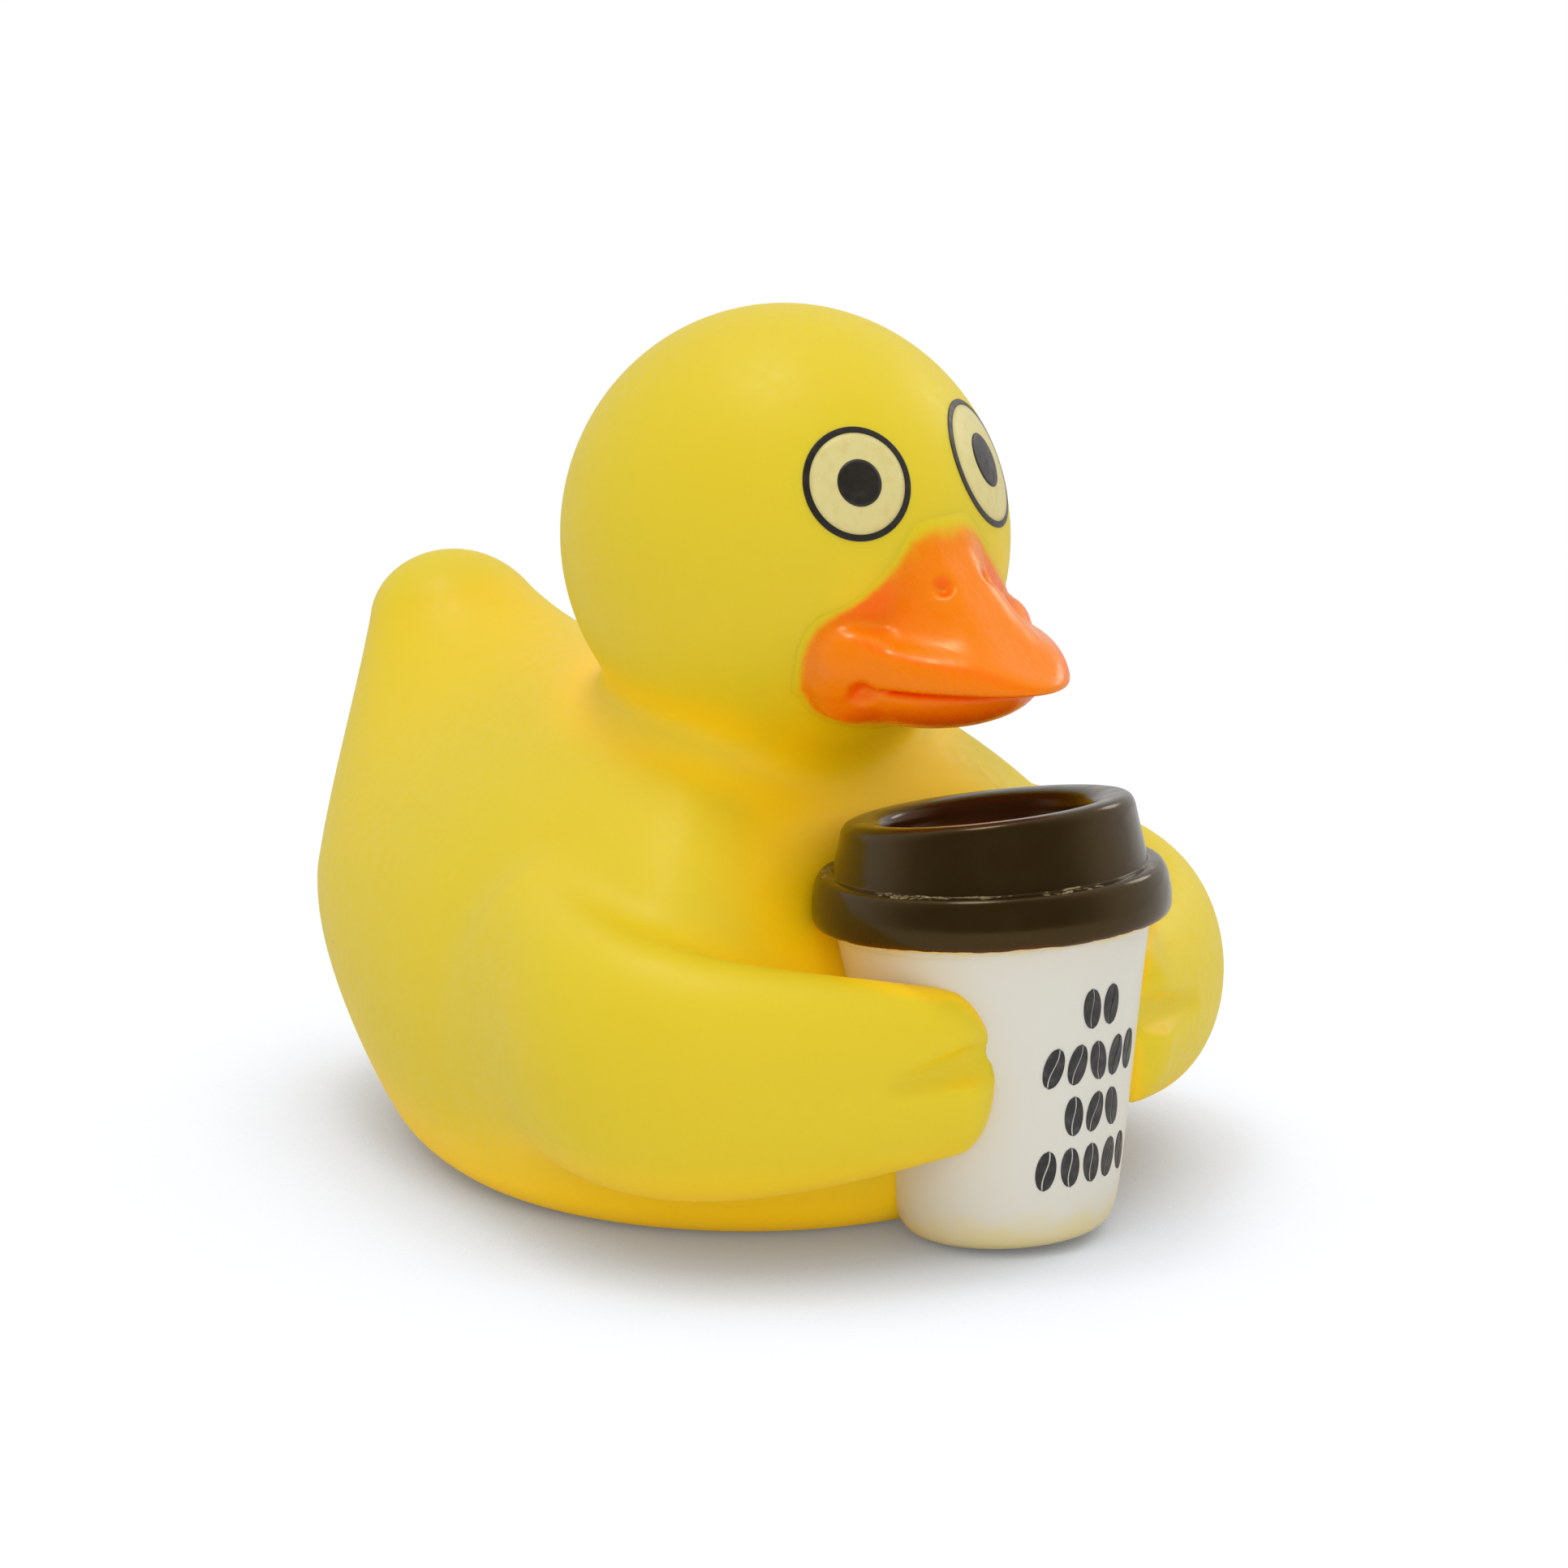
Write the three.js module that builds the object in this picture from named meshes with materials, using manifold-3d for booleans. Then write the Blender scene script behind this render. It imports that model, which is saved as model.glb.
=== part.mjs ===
// Squeezy vinyl duck hugging a lidded takeaway cup, rotationally moulded in one piece.
// Millimetres, +Z up. The duck faces -Y and stands on z = 0.
import * as THREE from 'three';
import { MarchingCubes } from 'three/addons/objects/MarchingCubes.js';
import { mergeVertices, toCreasedNormals } from 'three/addons/utils/BufferGeometryUtils.js';
import Module from 'manifold-3d';

// Head
const HEAD_CENTRE_Y = -5.9;
const HEAD_CENTRE_Z = 62.6;
const HEAD_HALF_WIDTH = 21.3;
const HEAD_HALF_LENGTH = 22.1;
const HEAD_HALF_HEIGHT = 22.3;

// Body, chest and tail
const BODY_CENTRE_Y = 0;
const BODY_CENTRE_Z = 15.8;
const BODY_HALF_WIDTH = 35.0;
const BODY_HALF_LENGTH = 35.5;
const BODY_HALF_HEIGHT = 32.6;
const CHEST_CENTRE_Y = -17.1;
const CHEST_CENTRE_Z = 23.7;
const CHEST_HALF_WIDTH = 29.5;
const CHEST_HALF_LENGTH = 18.6;
const CHEST_HALF_HEIGHT = 12.5;
const TAIL_ROOT_Y = 39.3;
const TAIL_ROOT_Z = 25.1;
const TAIL_ROOT_RADIUS = 6.7;
const TAIL_TIP_Y = 46.1;
const TAIL_TIP_Z = 48.0;
const TAIL_TIP_RADIUS = 3.7;
const TAIL_WIDENING = 1.31;
const FRONT_Y = -17.5;
const FRONT_Z = 38;
const FRONT_SLOPE = 0.625;

// Blend radii between the forms
const TAIL_BLEND = 42;
const CHEST_BLEND = 10;
const NECK_BLEND = 5;
const FRONT_BLEND = 5;
const WING_BLEND = 4;
const SHOULDER_BLEND = 5;
const SHOULDER_BLEND_FROM = -20;
const SHOULDER_BLEND_TO = -4;
const BASE_EDGE_BLEND = 4;

// Cup and lid, measured along the cup's own axis
const CUP_FOOT_Y = -36.5;
const CUP_LEAN_DEG = 4.3;
const CUP_FOOT_RADIUS = 10.9;
const CUP_FOOT_EDGE = 4.0;
const CUP_MOUTH_RADIUS = 14.9;
const CUP_HEIGHT = 30.4;
const LID_FLANGE_RADIUS = 16.9;
const LID_FLANGE_HEIGHT = 4.9;
const LID_RING_FOOT_RADIUS = 14.8;
const LID_RING_TOP_RADIUS = 13.8;
const LID_RING_HEIGHT = 5.5;
const LID_RECESS_RADIUS = 9.7;
const LID_RECESS_DEPTH = 3.2;
const LID_TOP_SLANT_DEG = 5.5;
const CUP_SEGMENTS = 44;

// Wings, swept from the shoulder round to the cup
const WING_SHOULDER = new THREE.Vector3(29.7, -2.8, 21.4);
const WING_ELBOW = new THREE.Vector3(39.1, -24.2, 18.2);
const WING_WRIST = new THREE.Vector3(27.2, -30.0, 18.1);
const WING_TIP_Z = 18.2;
const WING_TIP_ANGLE_DEG = 65.2;
const WING_TIP_STANDOFF = 0.5;
const WING_HALF_HEIGHTS = [11.8, 11.6, 8.8];
const WING_HALF_THICKNESSES = [5.7, 7.7, 4.3];
const FINGER_GROOVE_LENGTH = 10;
const FINGER_GROOVE_RISE = 1.8;
const FINGER_GROOVE_END_SHARE = 0.62;
const FINGER_GROOVE_END_OUT = 0.6;
const FINGER_GROOVE_START_OUT = 0.4;
const FINGER_GROOVE_RADIUS = 1.7;
const FINGER_GROOVE_BLEND = 1.5;

// Bill, measured forward from the head centre and up from the mouth line
const MOUTH_Z = 52.5;
const BILL_ROOT_FORWARD = 14;
const BILL_ROOT_HALF_WIDTH = 14.4;
const BILL_ROOT_DEPTH = 4;
const BILL_TIP_FORWARD = 36;
const BILL_HALF_WIDTH = 11.2;
const BILL_SIDE_BLEND = 3;
const BILL_BRIM_HEIGHT = 1.5;
const BILL_BRIM_CURL = 0.02;
const BILL_EDGE_BLEND = 2.2;
const BILL_LIP_BLEND = 1.2;
const BILL_MOUTH_GAP = 0.3;
const CROWN_HEIGHT = 11.6;
const CROWN_TOP_FORWARD = 21.9;
const CROWN_END_FORWARD = 35.0;
const CROWN_POWER = 1.4;
const CROWN_WIDTH = 5.3;
const CHEEK = { side: 9.7, forward: 18.8, height: 2.3, radius: 3.3, blend: 2.5 };
const LOWER_BILL = { forward: 18.7, drop: 0.2, halfWidth: 10.2, halfLength: 12.4, halfHeight: 5.0 };
const MOUTH_CORNER = { side: 9.8, forward: 21.2, height: 0.1, radius: 1.1, blend: 2.0 };
const NOSTRIL = { side: 3.4, forward: 24.8, height: 9.5, radius: 1.0, blend: 0.8 };
const BILL_ROOT_BLEND = 1.2;
const BILL_ROOT_SINK = 0.15;

// Printed eyes; the left one is printed larger and a little further round than the right one
const RIGHT_EYE = { side: -1, yawDeg: 24.5, pitchDeg: 22.8, halfWidth: 5.4, halfHeight: 5.6 };
const RIGHT_PUPIL = { side: -1, yawDeg: 24.3, pitchDeg: 22.7, halfWidth: 2.1, halfHeight: 2.2 };
const LEFT_EYE = { side: 1, yawDeg: 27.8, pitchDeg: 22.5, halfWidth: 6.5, halfHeight: 6.7 };
const LEFT_PUPIL = { side: 1, yawDeg: 27.1, pitchDeg: 22.8, halfWidth: 2.5, halfHeight: 2.7 };
const EYE_RING_WIDTH = 0.65;
const EYE_PRINT_STEP = 0.12;
const EYE_PRINT_LIFT = 0.2;
const EYE_PRINT_BACKING = 1.0;
const EYE_PRINT_SHOULDER = 0.55;
const EYE_SEGMENTS = 20;

// Wall, vent and facet sizes
const WALL = 2.0;
const VENT_RADIUS = 1.5;
const VENT_Y = 8;
const SKIN_FACET = 3.7;
const BILL_FACET = 1.4;
const TRUNK_CAVITY_FACET = 8;
const WING_CAVITY_FACET = 4.5;
const SKIN_SPAN = 112;
const SKIN_CENTRE_Z = 42;
const BILL_SPAN = 36;
const BILL_CENTRE_FORWARD = 20.2;
const BILL_CENTRE_HEIGHT = 4;
const MOST_FACETS = 20000;
const SETTLE_ROUNDS = 10;
const SLOPE_PROBE = 0.01;
const SWEEP_STATIONS = 32;
const VENT_SEGMENTS = 20;
const CREASE_DEG = 32;

const wasm = await Module();
wasm.setup();

// Distance to an ellipsoid, close to true near its surface
function ellipsoid(x, y, z, rx, ry, rz) {
  const inner = Math.hypot(x / rx, y / ry, z / rz);
  const slope = Math.hypot(x / (rx * rx), y / (ry * ry), z / (rz * rz));
  return (inner * (inner - 1)) / Math.max(slope, 1e-6);
}

function blendMin(a, b, radius) {
  const overlap = Math.max(radius - Math.abs(a - b), 0) / radius;
  return Math.min(a, b) - overlap * overlap * radius * 0.25;
}

function blendMax(a, b, radius) {
  return -blendMin(-a, -b, radius);
}

// Value at t of the parabola through three values at 0, a half and 1
function parabola(t, values) {
  const [start, middle, end] = values;
  return start * (1 - t) * (1 - 2 * t) + middle * 4 * t * (1 - t) + end * t * (2 * t - 1);
}

// Limb with an upright elliptical section, swept along a curve
function sweptForm(curve, halfHeights, halfThicknesses) {
  const length = curve.getLength();
  const stations = curve.getPoints(SWEEP_STATIONS).map((point, i) => {
    return { t: i / SWEEP_STATIONS, point, tangent: curve.getTangent(i / SWEEP_STATIONS) };
  });
  return (x, y, z) => {
    const p = new THREE.Vector3(x, y, z);
    let nearest = stations[0];
    for (const station of stations) {
      if (station.point.distanceToSquared(p) < nearest.point.distanceToSquared(p)) nearest = station;
    }
    const ahead = p.clone().sub(nearest.point).dot(nearest.tangent);
    const t = THREE.MathUtils.clamp(nearest.t + ahead / length, 0, 1);
    const tangent = curve.getTangent(t);
    const side = new THREE.Vector3(tangent.y, -tangent.x, 0).normalize();
    const up = new THREE.Vector3().crossVectors(side, tangent);
    const offset = p.sub(curve.getPoint(t));
    const thick = parabola(t, halfThicknesses);
    const high = parabola(t, halfHeights);
    const round = Math.min(thick, high);
    return ellipsoid(offset.dot(side), offset.dot(up), offset.dot(tangent), thick, high, round);
  };
}

// Tapered capsule from a to b, widened across x
function taperedCapsule(x, y, z, a, b, radiusA, radiusB, widening) {
  const along = new THREE.Vector3().subVectors(b, a);
  const p = new THREE.Vector3(x / widening, y, z).sub(a);
  const t = THREE.MathUtils.clamp(p.dot(along) / along.lengthSq(), 0, 1);
  return p.addScaledVector(along, -t).length() - THREE.MathUtils.lerp(radiusA, radiusB, t);
}

function head(x, y, z) {
  return ellipsoid(
    x, y - HEAD_CENTRE_Y, z - HEAD_CENTRE_Z,
    HEAD_HALF_WIDTH, HEAD_HALF_LENGTH, HEAD_HALF_HEIGHT,
  );
}

const tailRoot = new THREE.Vector3(0, TAIL_ROOT_Y, TAIL_ROOT_Z);
const tailTip = new THREE.Vector3(0, TAIL_TIP_Y, TAIL_TIP_Z);

// Egg-shaped body with an upturned tail, a flat base and a chest that leans back behind the lid
function torso(x, y, z) {
  const belly = ellipsoid(
    x, y - BODY_CENTRE_Y, z - BODY_CENTRE_Z,
    BODY_HALF_WIDTH, BODY_HALF_LENGTH, BODY_HALF_HEIGHT,
  );
  const tail = taperedCapsule(x, y, z, tailRoot, tailTip, TAIL_ROOT_RADIUS, TAIL_TIP_RADIUS, TAIL_WIDENING);
  const chest = ellipsoid(
    x, y - CHEST_CENTRE_Y, z - CHEST_CENTRE_Z,
    CHEST_HALF_WIDTH, CHEST_HALF_LENGTH, CHEST_HALF_HEIGHT,
  );
  const whole = blendMin(blendMin(belly, tail, TAIL_BLEND), chest, CHEST_BLEND);
  const front = (FRONT_Y + FRONT_SLOPE * (z - FRONT_Z) - y) / Math.hypot(1, FRONT_SLOPE);
  return blendMax(blendMax(whole, front, FRONT_BLEND), -z, BASE_EDGE_BLEND);
}

// Place on the wing side of the cup, given a height, a radius and an angle from its front
function besideCup(z, radius, angle) {
  const axisY = CUP_FOOT_Y + z * Math.tan(THREE.MathUtils.degToRad(CUP_LEAN_DEG));
  return new THREE.Vector3(radius * Math.sin(angle), axisY - radius * Math.cos(angle), z);
}

function cupRadiusAt(height) {
  const t = (height - CUP_FOOT_EDGE) / (CUP_HEIGHT - CUP_FOOT_EDGE);
  return THREE.MathUtils.lerp(CUP_FOOT_RADIUS, CUP_MOUTH_RADIUS, t);
}

const tipAngle = THREE.MathUtils.degToRad(WING_TIP_ANGLE_DEG);
const wingTip = besideCup(WING_TIP_Z, cupRadiusAt(WING_TIP_Z) + WING_TIP_STANDOFF, tipAngle);
const wingCurve = new THREE.CubicBezierCurve3(WING_SHOULDER, WING_ELBOW, WING_WRIST, wingTip);
const wingForm = sweptForm(wingCurve, WING_HALF_HEIGHTS, WING_HALF_THICKNESSES);
const tipThickness = WING_HALF_THICKNESSES[2];
const grooveEnd = besideCup(
  WING_TIP_Z + FINGER_GROOVE_RISE,
  cupRadiusAt(WING_TIP_Z) + WING_TIP_STANDOFF + tipThickness * FINGER_GROOVE_END_OUT,
  tipAngle * FINGER_GROOVE_END_SHARE,
);
const grooveOut = new THREE.Vector3(grooveEnd.x, grooveEnd.y - wingTip.y, 0).normalize();
const grooveStart = grooveEnd.clone()
  .addScaledVector(wingCurve.getTangent(1), -FINGER_GROOVE_LENGTH)
  .addScaledVector(grooveOut, tipThickness * FINGER_GROOVE_START_OUT);

// Both wings, each with the shallow groove that parts the tip into two fingers
function wings(x, y, z) {
  const side = Math.abs(x);
  const groove = taperedCapsule(side, y, z, grooveStart, grooveEnd, 0, FINGER_GROOVE_RADIUS, 1);
  return blendMax(wingForm(side, y, z), -groove, FINGER_GROOVE_BLEND);
}

function trunk(x, y, z) {
  return blendMin(torso(x, y, z), head(x, y, z), NECK_BLEND);
}

// The wings stand off the body along a soft border, crisper towards their tips
function vinylSkin(x, y, z) {
  const share = THREE.MathUtils.mapLinear(y, SHOULDER_BLEND_FROM, SHOULDER_BLEND_TO, 0, 1);
  const blend = THREE.MathUtils.lerp(WING_BLEND, SHOULDER_BLEND, THREE.MathUtils.clamp(share, 0, 1));
  return blendMin(trunk(x, y, z), wings(x, y, z), blend);
}

function trunkCavity(x, y, z) {
  return trunk(x, y, z) + WALL;
}

function wingCavity(x, y, z) {
  return wings(x, y, z) + WALL;
}

// Plan of the bill: a parabola that ends in a rounded tip, with its rear sides cut back
function billPlan(x, forward) {
  const length = BILL_TIP_FORWARD - BILL_ROOT_FORWARD;
  const across = x / BILL_ROOT_HALF_WIDTH;
  const parabolic = across ** 2 + (forward - BILL_ROOT_FORWARD) / length - 1;
  const slope = Math.hypot((2 * across) / BILL_ROOT_HALF_WIDTH, 1 / length);
  const sided = blendMax(parabolic / slope, x - BILL_HALF_WIDTH, BILL_SIDE_BLEND);
  return Math.max(sided, BILL_ROOT_FORWARD - BILL_ROOT_DEPTH - forward);
}

// Upper bill: a curled brim under a round-topped crown that runs down to the tip
function upperBill(x, forward, height) {
  const plan = billPlan(x, forward);
  const run = CROWN_END_FORWARD - CROWN_TOP_FORWARD;
  const rise = THREE.MathUtils.clamp((CROWN_END_FORWARD - forward) / run, 0, 1);
  const bell = 1 + (x / CROWN_WIDTH) ** 4;
  const crown = (CROWN_HEIGHT * rise ** CROWN_POWER) / bell;
  const top = BILL_BRIM_HEIGHT + BILL_BRIM_CURL * x * x + crown;
  const sideSlope = (crown * 4 * x ** 3) / CROWN_WIDTH ** 4 / bell;
  const frontSlope = (CROWN_POWER * crown) / Math.max(rise * run, 1);
  const above = (height - top) / Math.hypot(1, sideSlope, frontSlope);
  const lip = BILL_MOUTH_GAP / 2 - height;
  return blendMax(blendMax(plan, above, BILL_EDGE_BLEND), lip, BILL_LIP_BLEND);
}

function lowerBill(x, forward, height) {
  const bowl = ellipsoid(
    x, forward - LOWER_BILL.forward, height + LOWER_BILL.drop,
    LOWER_BILL.halfWidth, LOWER_BILL.halfLength, LOWER_BILL.halfHeight,
  );
  return blendMax(bowl, height + BILL_MOUTH_GAP / 2, BILL_LIP_BLEND);
}

function ball(x, forward, height, place) {
  return Math.hypot(x - place.side, forward - place.forward, height - place.height) - place.radius;
}

// Whole bill, rooted just under the face
function bill(x, y, z) {
  const side = Math.abs(x);
  const forward = HEAD_CENTRE_Y - y;
  const height = z - MOUTH_Z;
  const beak = blendMin(upperBill(side, forward, height), lowerBill(side, forward, height), BILL_MOUTH_GAP);
  const cheeked = blendMin(beak, ball(side, forward, height, CHEEK), CHEEK.blend);
  const cornered = blendMax(cheeked, -ball(side, forward, height, MOUTH_CORNER), MOUTH_CORNER.blend);
  const pierced = blendMax(cornered, -ball(side, forward, height, NOSTRIL), NOSTRIL.blend);
  const rooted = blendMin(pierced, head(x, y, z) + BILL_ROOT_SINK, BILL_ROOT_BLEND);
  return Math.max(rooted, pierced - BILL_ROOT_BLEND);
}

// Turns any closed geometry into a solid
function solid(geometry) {
  const bare = new THREE.BufferGeometry();
  bare.setAttribute('position', geometry.getAttribute('position').clone());
  bare.setIndex(geometry.getIndex());
  const merged = mergeVertices(bare, 1e-4);
  const index = merged.getIndex().array;
  const triVerts = [];
  for (let i = 0; i < index.length; i += 3) {
    const [a, b, c] = [index[i], index[i + 1], index[i + 2]];
    if (a !== b && b !== c && c !== a) triVerts.push(a, b, c);
  }
  const mesh = new wasm.Mesh({
    numProp: 3,
    vertProperties: new Float32Array(merged.getAttribute('position').array),
    triVerts: new Uint32Array(triVerts),
  });
  return new wasm.Manifold(mesh).asOriginal();
}

// Moves each point onto the surface of the field, and evens out the facets along it
function settle(geometry, field) {
  const position = geometry.getAttribute('position');
  const index = geometry.getIndex().array;
  const neighbours = Array.from({ length: position.count }, () => new Set());
  for (let i = 0; i < index.length; i += 3) {
    const corners = [index[i], index[i + 1], index[i + 2]];
    corners.forEach((corner, j) => neighbours[corner].add(corners[(j + 1) % 3]));
    corners.forEach((corner, j) => neighbours[corner].add(corners[(j + 2) % 3]));
  }
  const probe = SLOPE_PROBE;
  const point = new THREE.Vector3();
  const other = new THREE.Vector3();
  for (let round = 0; round < SETTLE_ROUNDS; round += 1) {
    const before = position.clone();
    for (let i = 0; i < position.count; i += 1) {
      point.fromBufferAttribute(before, i);
      const value = field(point.x, point.y, point.z);
      const gradient = new THREE.Vector3(
        field(point.x + probe, point.y, point.z) - value,
        field(point.x, point.y + probe, point.z) - value,
        field(point.x, point.y, point.z + probe) - value,
      ).divideScalar(probe);
      const shift = new THREE.Vector3();
      for (const j of neighbours[i]) shift.add(other.fromBufferAttribute(before, j).sub(point));
      shift.multiplyScalar(round < SETTLE_ROUNDS - 2 ? 0.5 / neighbours[i].size : 0);
      const steepness = Math.max(gradient.lengthSq(), 0.05);
      shift.addScaledVector(gradient, -(shift.dot(gradient) + value) / steepness);
      point.add(shift.clampLength(0, 1));
      position.setXYZ(i, point.x, point.y, point.z);
    }
  }
}

// Fills the lattice where the corners of a face alternate, so that the skin has one closed reading
function fillSaddles(values, steps, filled) {
  const strides = [1, steps, steps * steps];
  let changed = true;
  while (changed) {
    changed = false;
    for (const u of strides) {
      for (const v of strides.filter((stride) => stride > u)) {
        for (let i = 0; i + u + v < values.length; i += 1) {
          const inside = values[i] > 0;
          const acrossAlike = values[i + u + v] > 0 === inside;
          const besideUnlike = values[i + u] > 0 !== inside && values[i + v] > 0 !== inside;
          if (acrossAlike && besideUnlike) {
            const [a, b] = inside ? [i + u, i + v] : [i, i + u + v];
            values[values[a] > values[b] ? a : b] = filled;
            changed = true;
          }
        }
      }
    }
  }
}

// Closed skin of everything inside the field, over a cube about the given centre
function skin(field, centre, span, facet) {
  const margin = 4;
  const steps = Math.ceil(span / facet) + margin;
  const cubes = new MarchingCubes(steps, new THREE.MeshStandardMaterial(), false, false, MOST_FACETS);
  const scale = (steps * facet) / 2;
  const nudge = 0.12 * facet;
  cubes.isolation = 0;
  for (let k = 0; k < steps; k += 1) {
    for (let j = 0; j < steps; j += 1) {
      for (let i = 0; i < steps; i += 1) {
        const x = centre.x + (i / (steps / 2) - 1) * scale;
        const y = centre.y + (j / (steps / 2) - 1) * scale;
        const z = centre.z + (k / (steps / 2) - 1) * scale;
        const depth = -field(x, y, z);
        const cell = i + steps * (j + steps * k);
        cubes.field[cell] = depth > 0 ? Math.max(depth, nudge) : Math.min(depth, -nudge);
      }
    }
  }
  fillSaddles(cubes.field, steps, nudge);
  cubes.update();
  const positions = cubes.positionArray.slice(0, cubes.count * 3);
  const bare = new THREE.BufferGeometry();
  bare.setAttribute('position', new THREE.BufferAttribute(positions, 3));
  const geometry = mergeVertices(bare, 1e-5);
  geometry.scale(scale, scale, scale).translate(centre.x, centre.y, centre.z);
  settle(geometry, field);
  return geometry;
}

// Leans a revolved piece back with the cup, and keeps it above the floor
function leanWithCup(geometry) {
  geometry.rotateX(-THREE.MathUtils.degToRad(CUP_LEAN_DEG)).translate(0, CUP_FOOT_Y, 0);
  const position = geometry.getAttribute('position');
  for (let i = 0; i < position.count; i += 1) position.setZ(i, Math.max(position.getZ(i), 0));
  return geometry;
}

// Revolves a profile of radius and height about +Z
function revolve(profile, segments) {
  const points = profile.map(([radius, height]) => new THREE.Vector2(radius, height));
  return new THREE.LatheGeometry(points, segments).rotateX(Math.PI / 2);
}

function cup() {
  return leanWithCup(revolve([
    [0, 0],
    [CUP_FOOT_RADIUS - 3.9, 0],
    [CUP_FOOT_RADIUS - 1.9, 0.5],
    [CUP_FOOT_RADIUS - 0.7, 1.7],
    [CUP_FOOT_RADIUS, CUP_FOOT_EDGE],
    [CUP_MOUTH_RADIUS, CUP_HEIGHT],
    [0, CUP_HEIGHT],
  ], CUP_SEGMENTS));
}

// Lid with a rounded flange, a slanted ring and a shallow recess in its top
function lid() {
  const crease = CUP_HEIGHT + LID_FLANGE_HEIGHT;
  const top = crease + LID_RING_HEIGHT;
  const recess = top - LID_RECESS_DEPTH;
  const geometry = revolve([
    [0, CUP_HEIGHT - 1],
    [CUP_MOUTH_RADIUS - 0.8, CUP_HEIGHT - 1],
    [CUP_MOUTH_RADIUS - 0.5, CUP_HEIGHT - 0.2],
    [LID_FLANGE_RADIUS - 0.5, CUP_HEIGHT + 0.1],
    [LID_FLANGE_RADIUS - 0.1, CUP_HEIGHT + 0.8],
    [LID_FLANGE_RADIUS, CUP_HEIGHT + 1.8],
    [LID_FLANGE_RADIUS - 0.3, crease - 1.5],
    [LID_FLANGE_RADIUS - 0.7, crease - 0.6],
    [LID_FLANGE_RADIUS - 1.3, crease - 0.1],
    [LID_RING_FOOT_RADIUS, crease],
    [LID_RING_TOP_RADIUS, top - 1.3],
    [LID_RING_TOP_RADIUS - 0.4, top - 0.5],
    [LID_RING_TOP_RADIUS - 1.1, top - 0.1],
    [LID_RING_TOP_RADIUS - 2, top],
    [LID_RECESS_RADIUS + 0.9, top - 0.2],
    [LID_RECESS_RADIUS + 0.2, top - 0.8],
    [LID_RECESS_RADIUS, top - 1.7],
    [LID_RECESS_RADIUS - 0.2, recess + 0.3],
    [LID_RECESS_RADIUS - 0.6, recess],
    [0, recess],
  ], CUP_SEGMENTS);
  const position = geometry.getAttribute('position');
  const slant = Math.tan(THREE.MathUtils.degToRad(LID_TOP_SLANT_DEG));
  for (let i = 0; i < position.count; i += 1) {
    const share = THREE.MathUtils.clamp((position.getZ(i) - crease) / LID_RING_HEIGHT, 0, 1);
    position.setZ(i, position.getZ(i) - share * slant * position.getY(i));
  }
  return leanWithCup(geometry);
}

function cupCavity() {
  return leanWithCup(revolve([
    [0, WALL],
    [CUP_FOOT_RADIUS - WALL - 1, WALL],
    [CUP_FOOT_RADIUS - WALL, CUP_FOOT_EDGE + WALL],
    [CUP_MOUTH_RADIUS - WALL, CUP_HEIGHT],
    [0, CUP_HEIGHT + LID_FLANGE_HEIGHT - WALL],
  ], CUP_SEGMENTS / 2));
}

function vent() {
  const depth = WALL * 3;
  return new THREE.CylinderGeometry(VENT_RADIUS, VENT_RADIUS, depth, VENT_SEGMENTS)
    .rotateX(Math.PI / 2)
    .translate(0, VENT_Y, 0);
}

// Oval print that follows the head, drawn in by inset from the given outline
function eyePrint(outline, inset, lift) {
  const yaw = THREE.MathUtils.degToRad(outline.yawDeg) * outline.side;
  const pitch = THREE.MathUtils.degToRad(outline.pitchDeg);
  const aim = new THREE.Vector3(
    Math.sin(yaw) * Math.cos(pitch), -Math.cos(yaw) * Math.cos(pitch), Math.sin(pitch),
  );
  const halves = new THREE.Vector3(HEAD_HALF_WIDTH, HEAD_HALF_LENGTH, HEAD_HALF_HEIGHT);
  const centre = aim.clone().multiply(halves).add(new THREE.Vector3(0, HEAD_CENTRE_Y, HEAD_CENTRE_Z));
  const normal = aim.clone().divide(halves).normalize();
  const across = new THREE.Vector3(0, 0, 1).cross(normal).normalize();
  const upward = new THREE.Vector3().crossVectors(normal, across);
  const halfWidth = outline.halfWidth - inset;
  const halfHeight = outline.halfHeight - inset;
  const radius = (halfWidth + halfHeight) / 2;
  const shoulder = radius * EYE_PRINT_SHOULDER;
  const curvature = (HEAD_HALF_WIDTH + HEAD_HALF_LENGTH + HEAD_HALF_HEIGHT) / 3;
  const dome = (r) => lift + Math.sqrt(curvature ** 2 - r * r) - curvature;
  return revolve([
    [0, dome(radius) - EYE_PRINT_BACKING],
    [radius, dome(radius) - EYE_PRINT_BACKING],
    [radius, dome(radius)],
    [shoulder, dome(shoulder)],
    [0, dome(0)],
  ], EYE_SEGMENTS)
    .scale(halfWidth / radius, halfHeight / radius, 1)
    .applyMatrix4(new THREE.Matrix4().makeBasis(across, upward, normal).setPosition(centre));
}

function coat(name, color, roughness) {
  return new THREE.MeshStandardMaterial({ name, color, roughness, metalness: 0 });
}

const materials = {
  vinyl: coat('yellow_vinyl', 0xe8ce38, 0.45),
  bill: coat('orange_paint', 0xf27a1c, 0.35),
  cup: coat('off_white_paint', 0xd9d6cc, 0.4),
  lid: coat('brown_paint', 0x3e2f1d, 0.25),
  eyeBlack: coat('black_print', 0x28231c, 0.5),
  eyeCream: coat('cream_print', 0xddd08a, 0.5),
};

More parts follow.
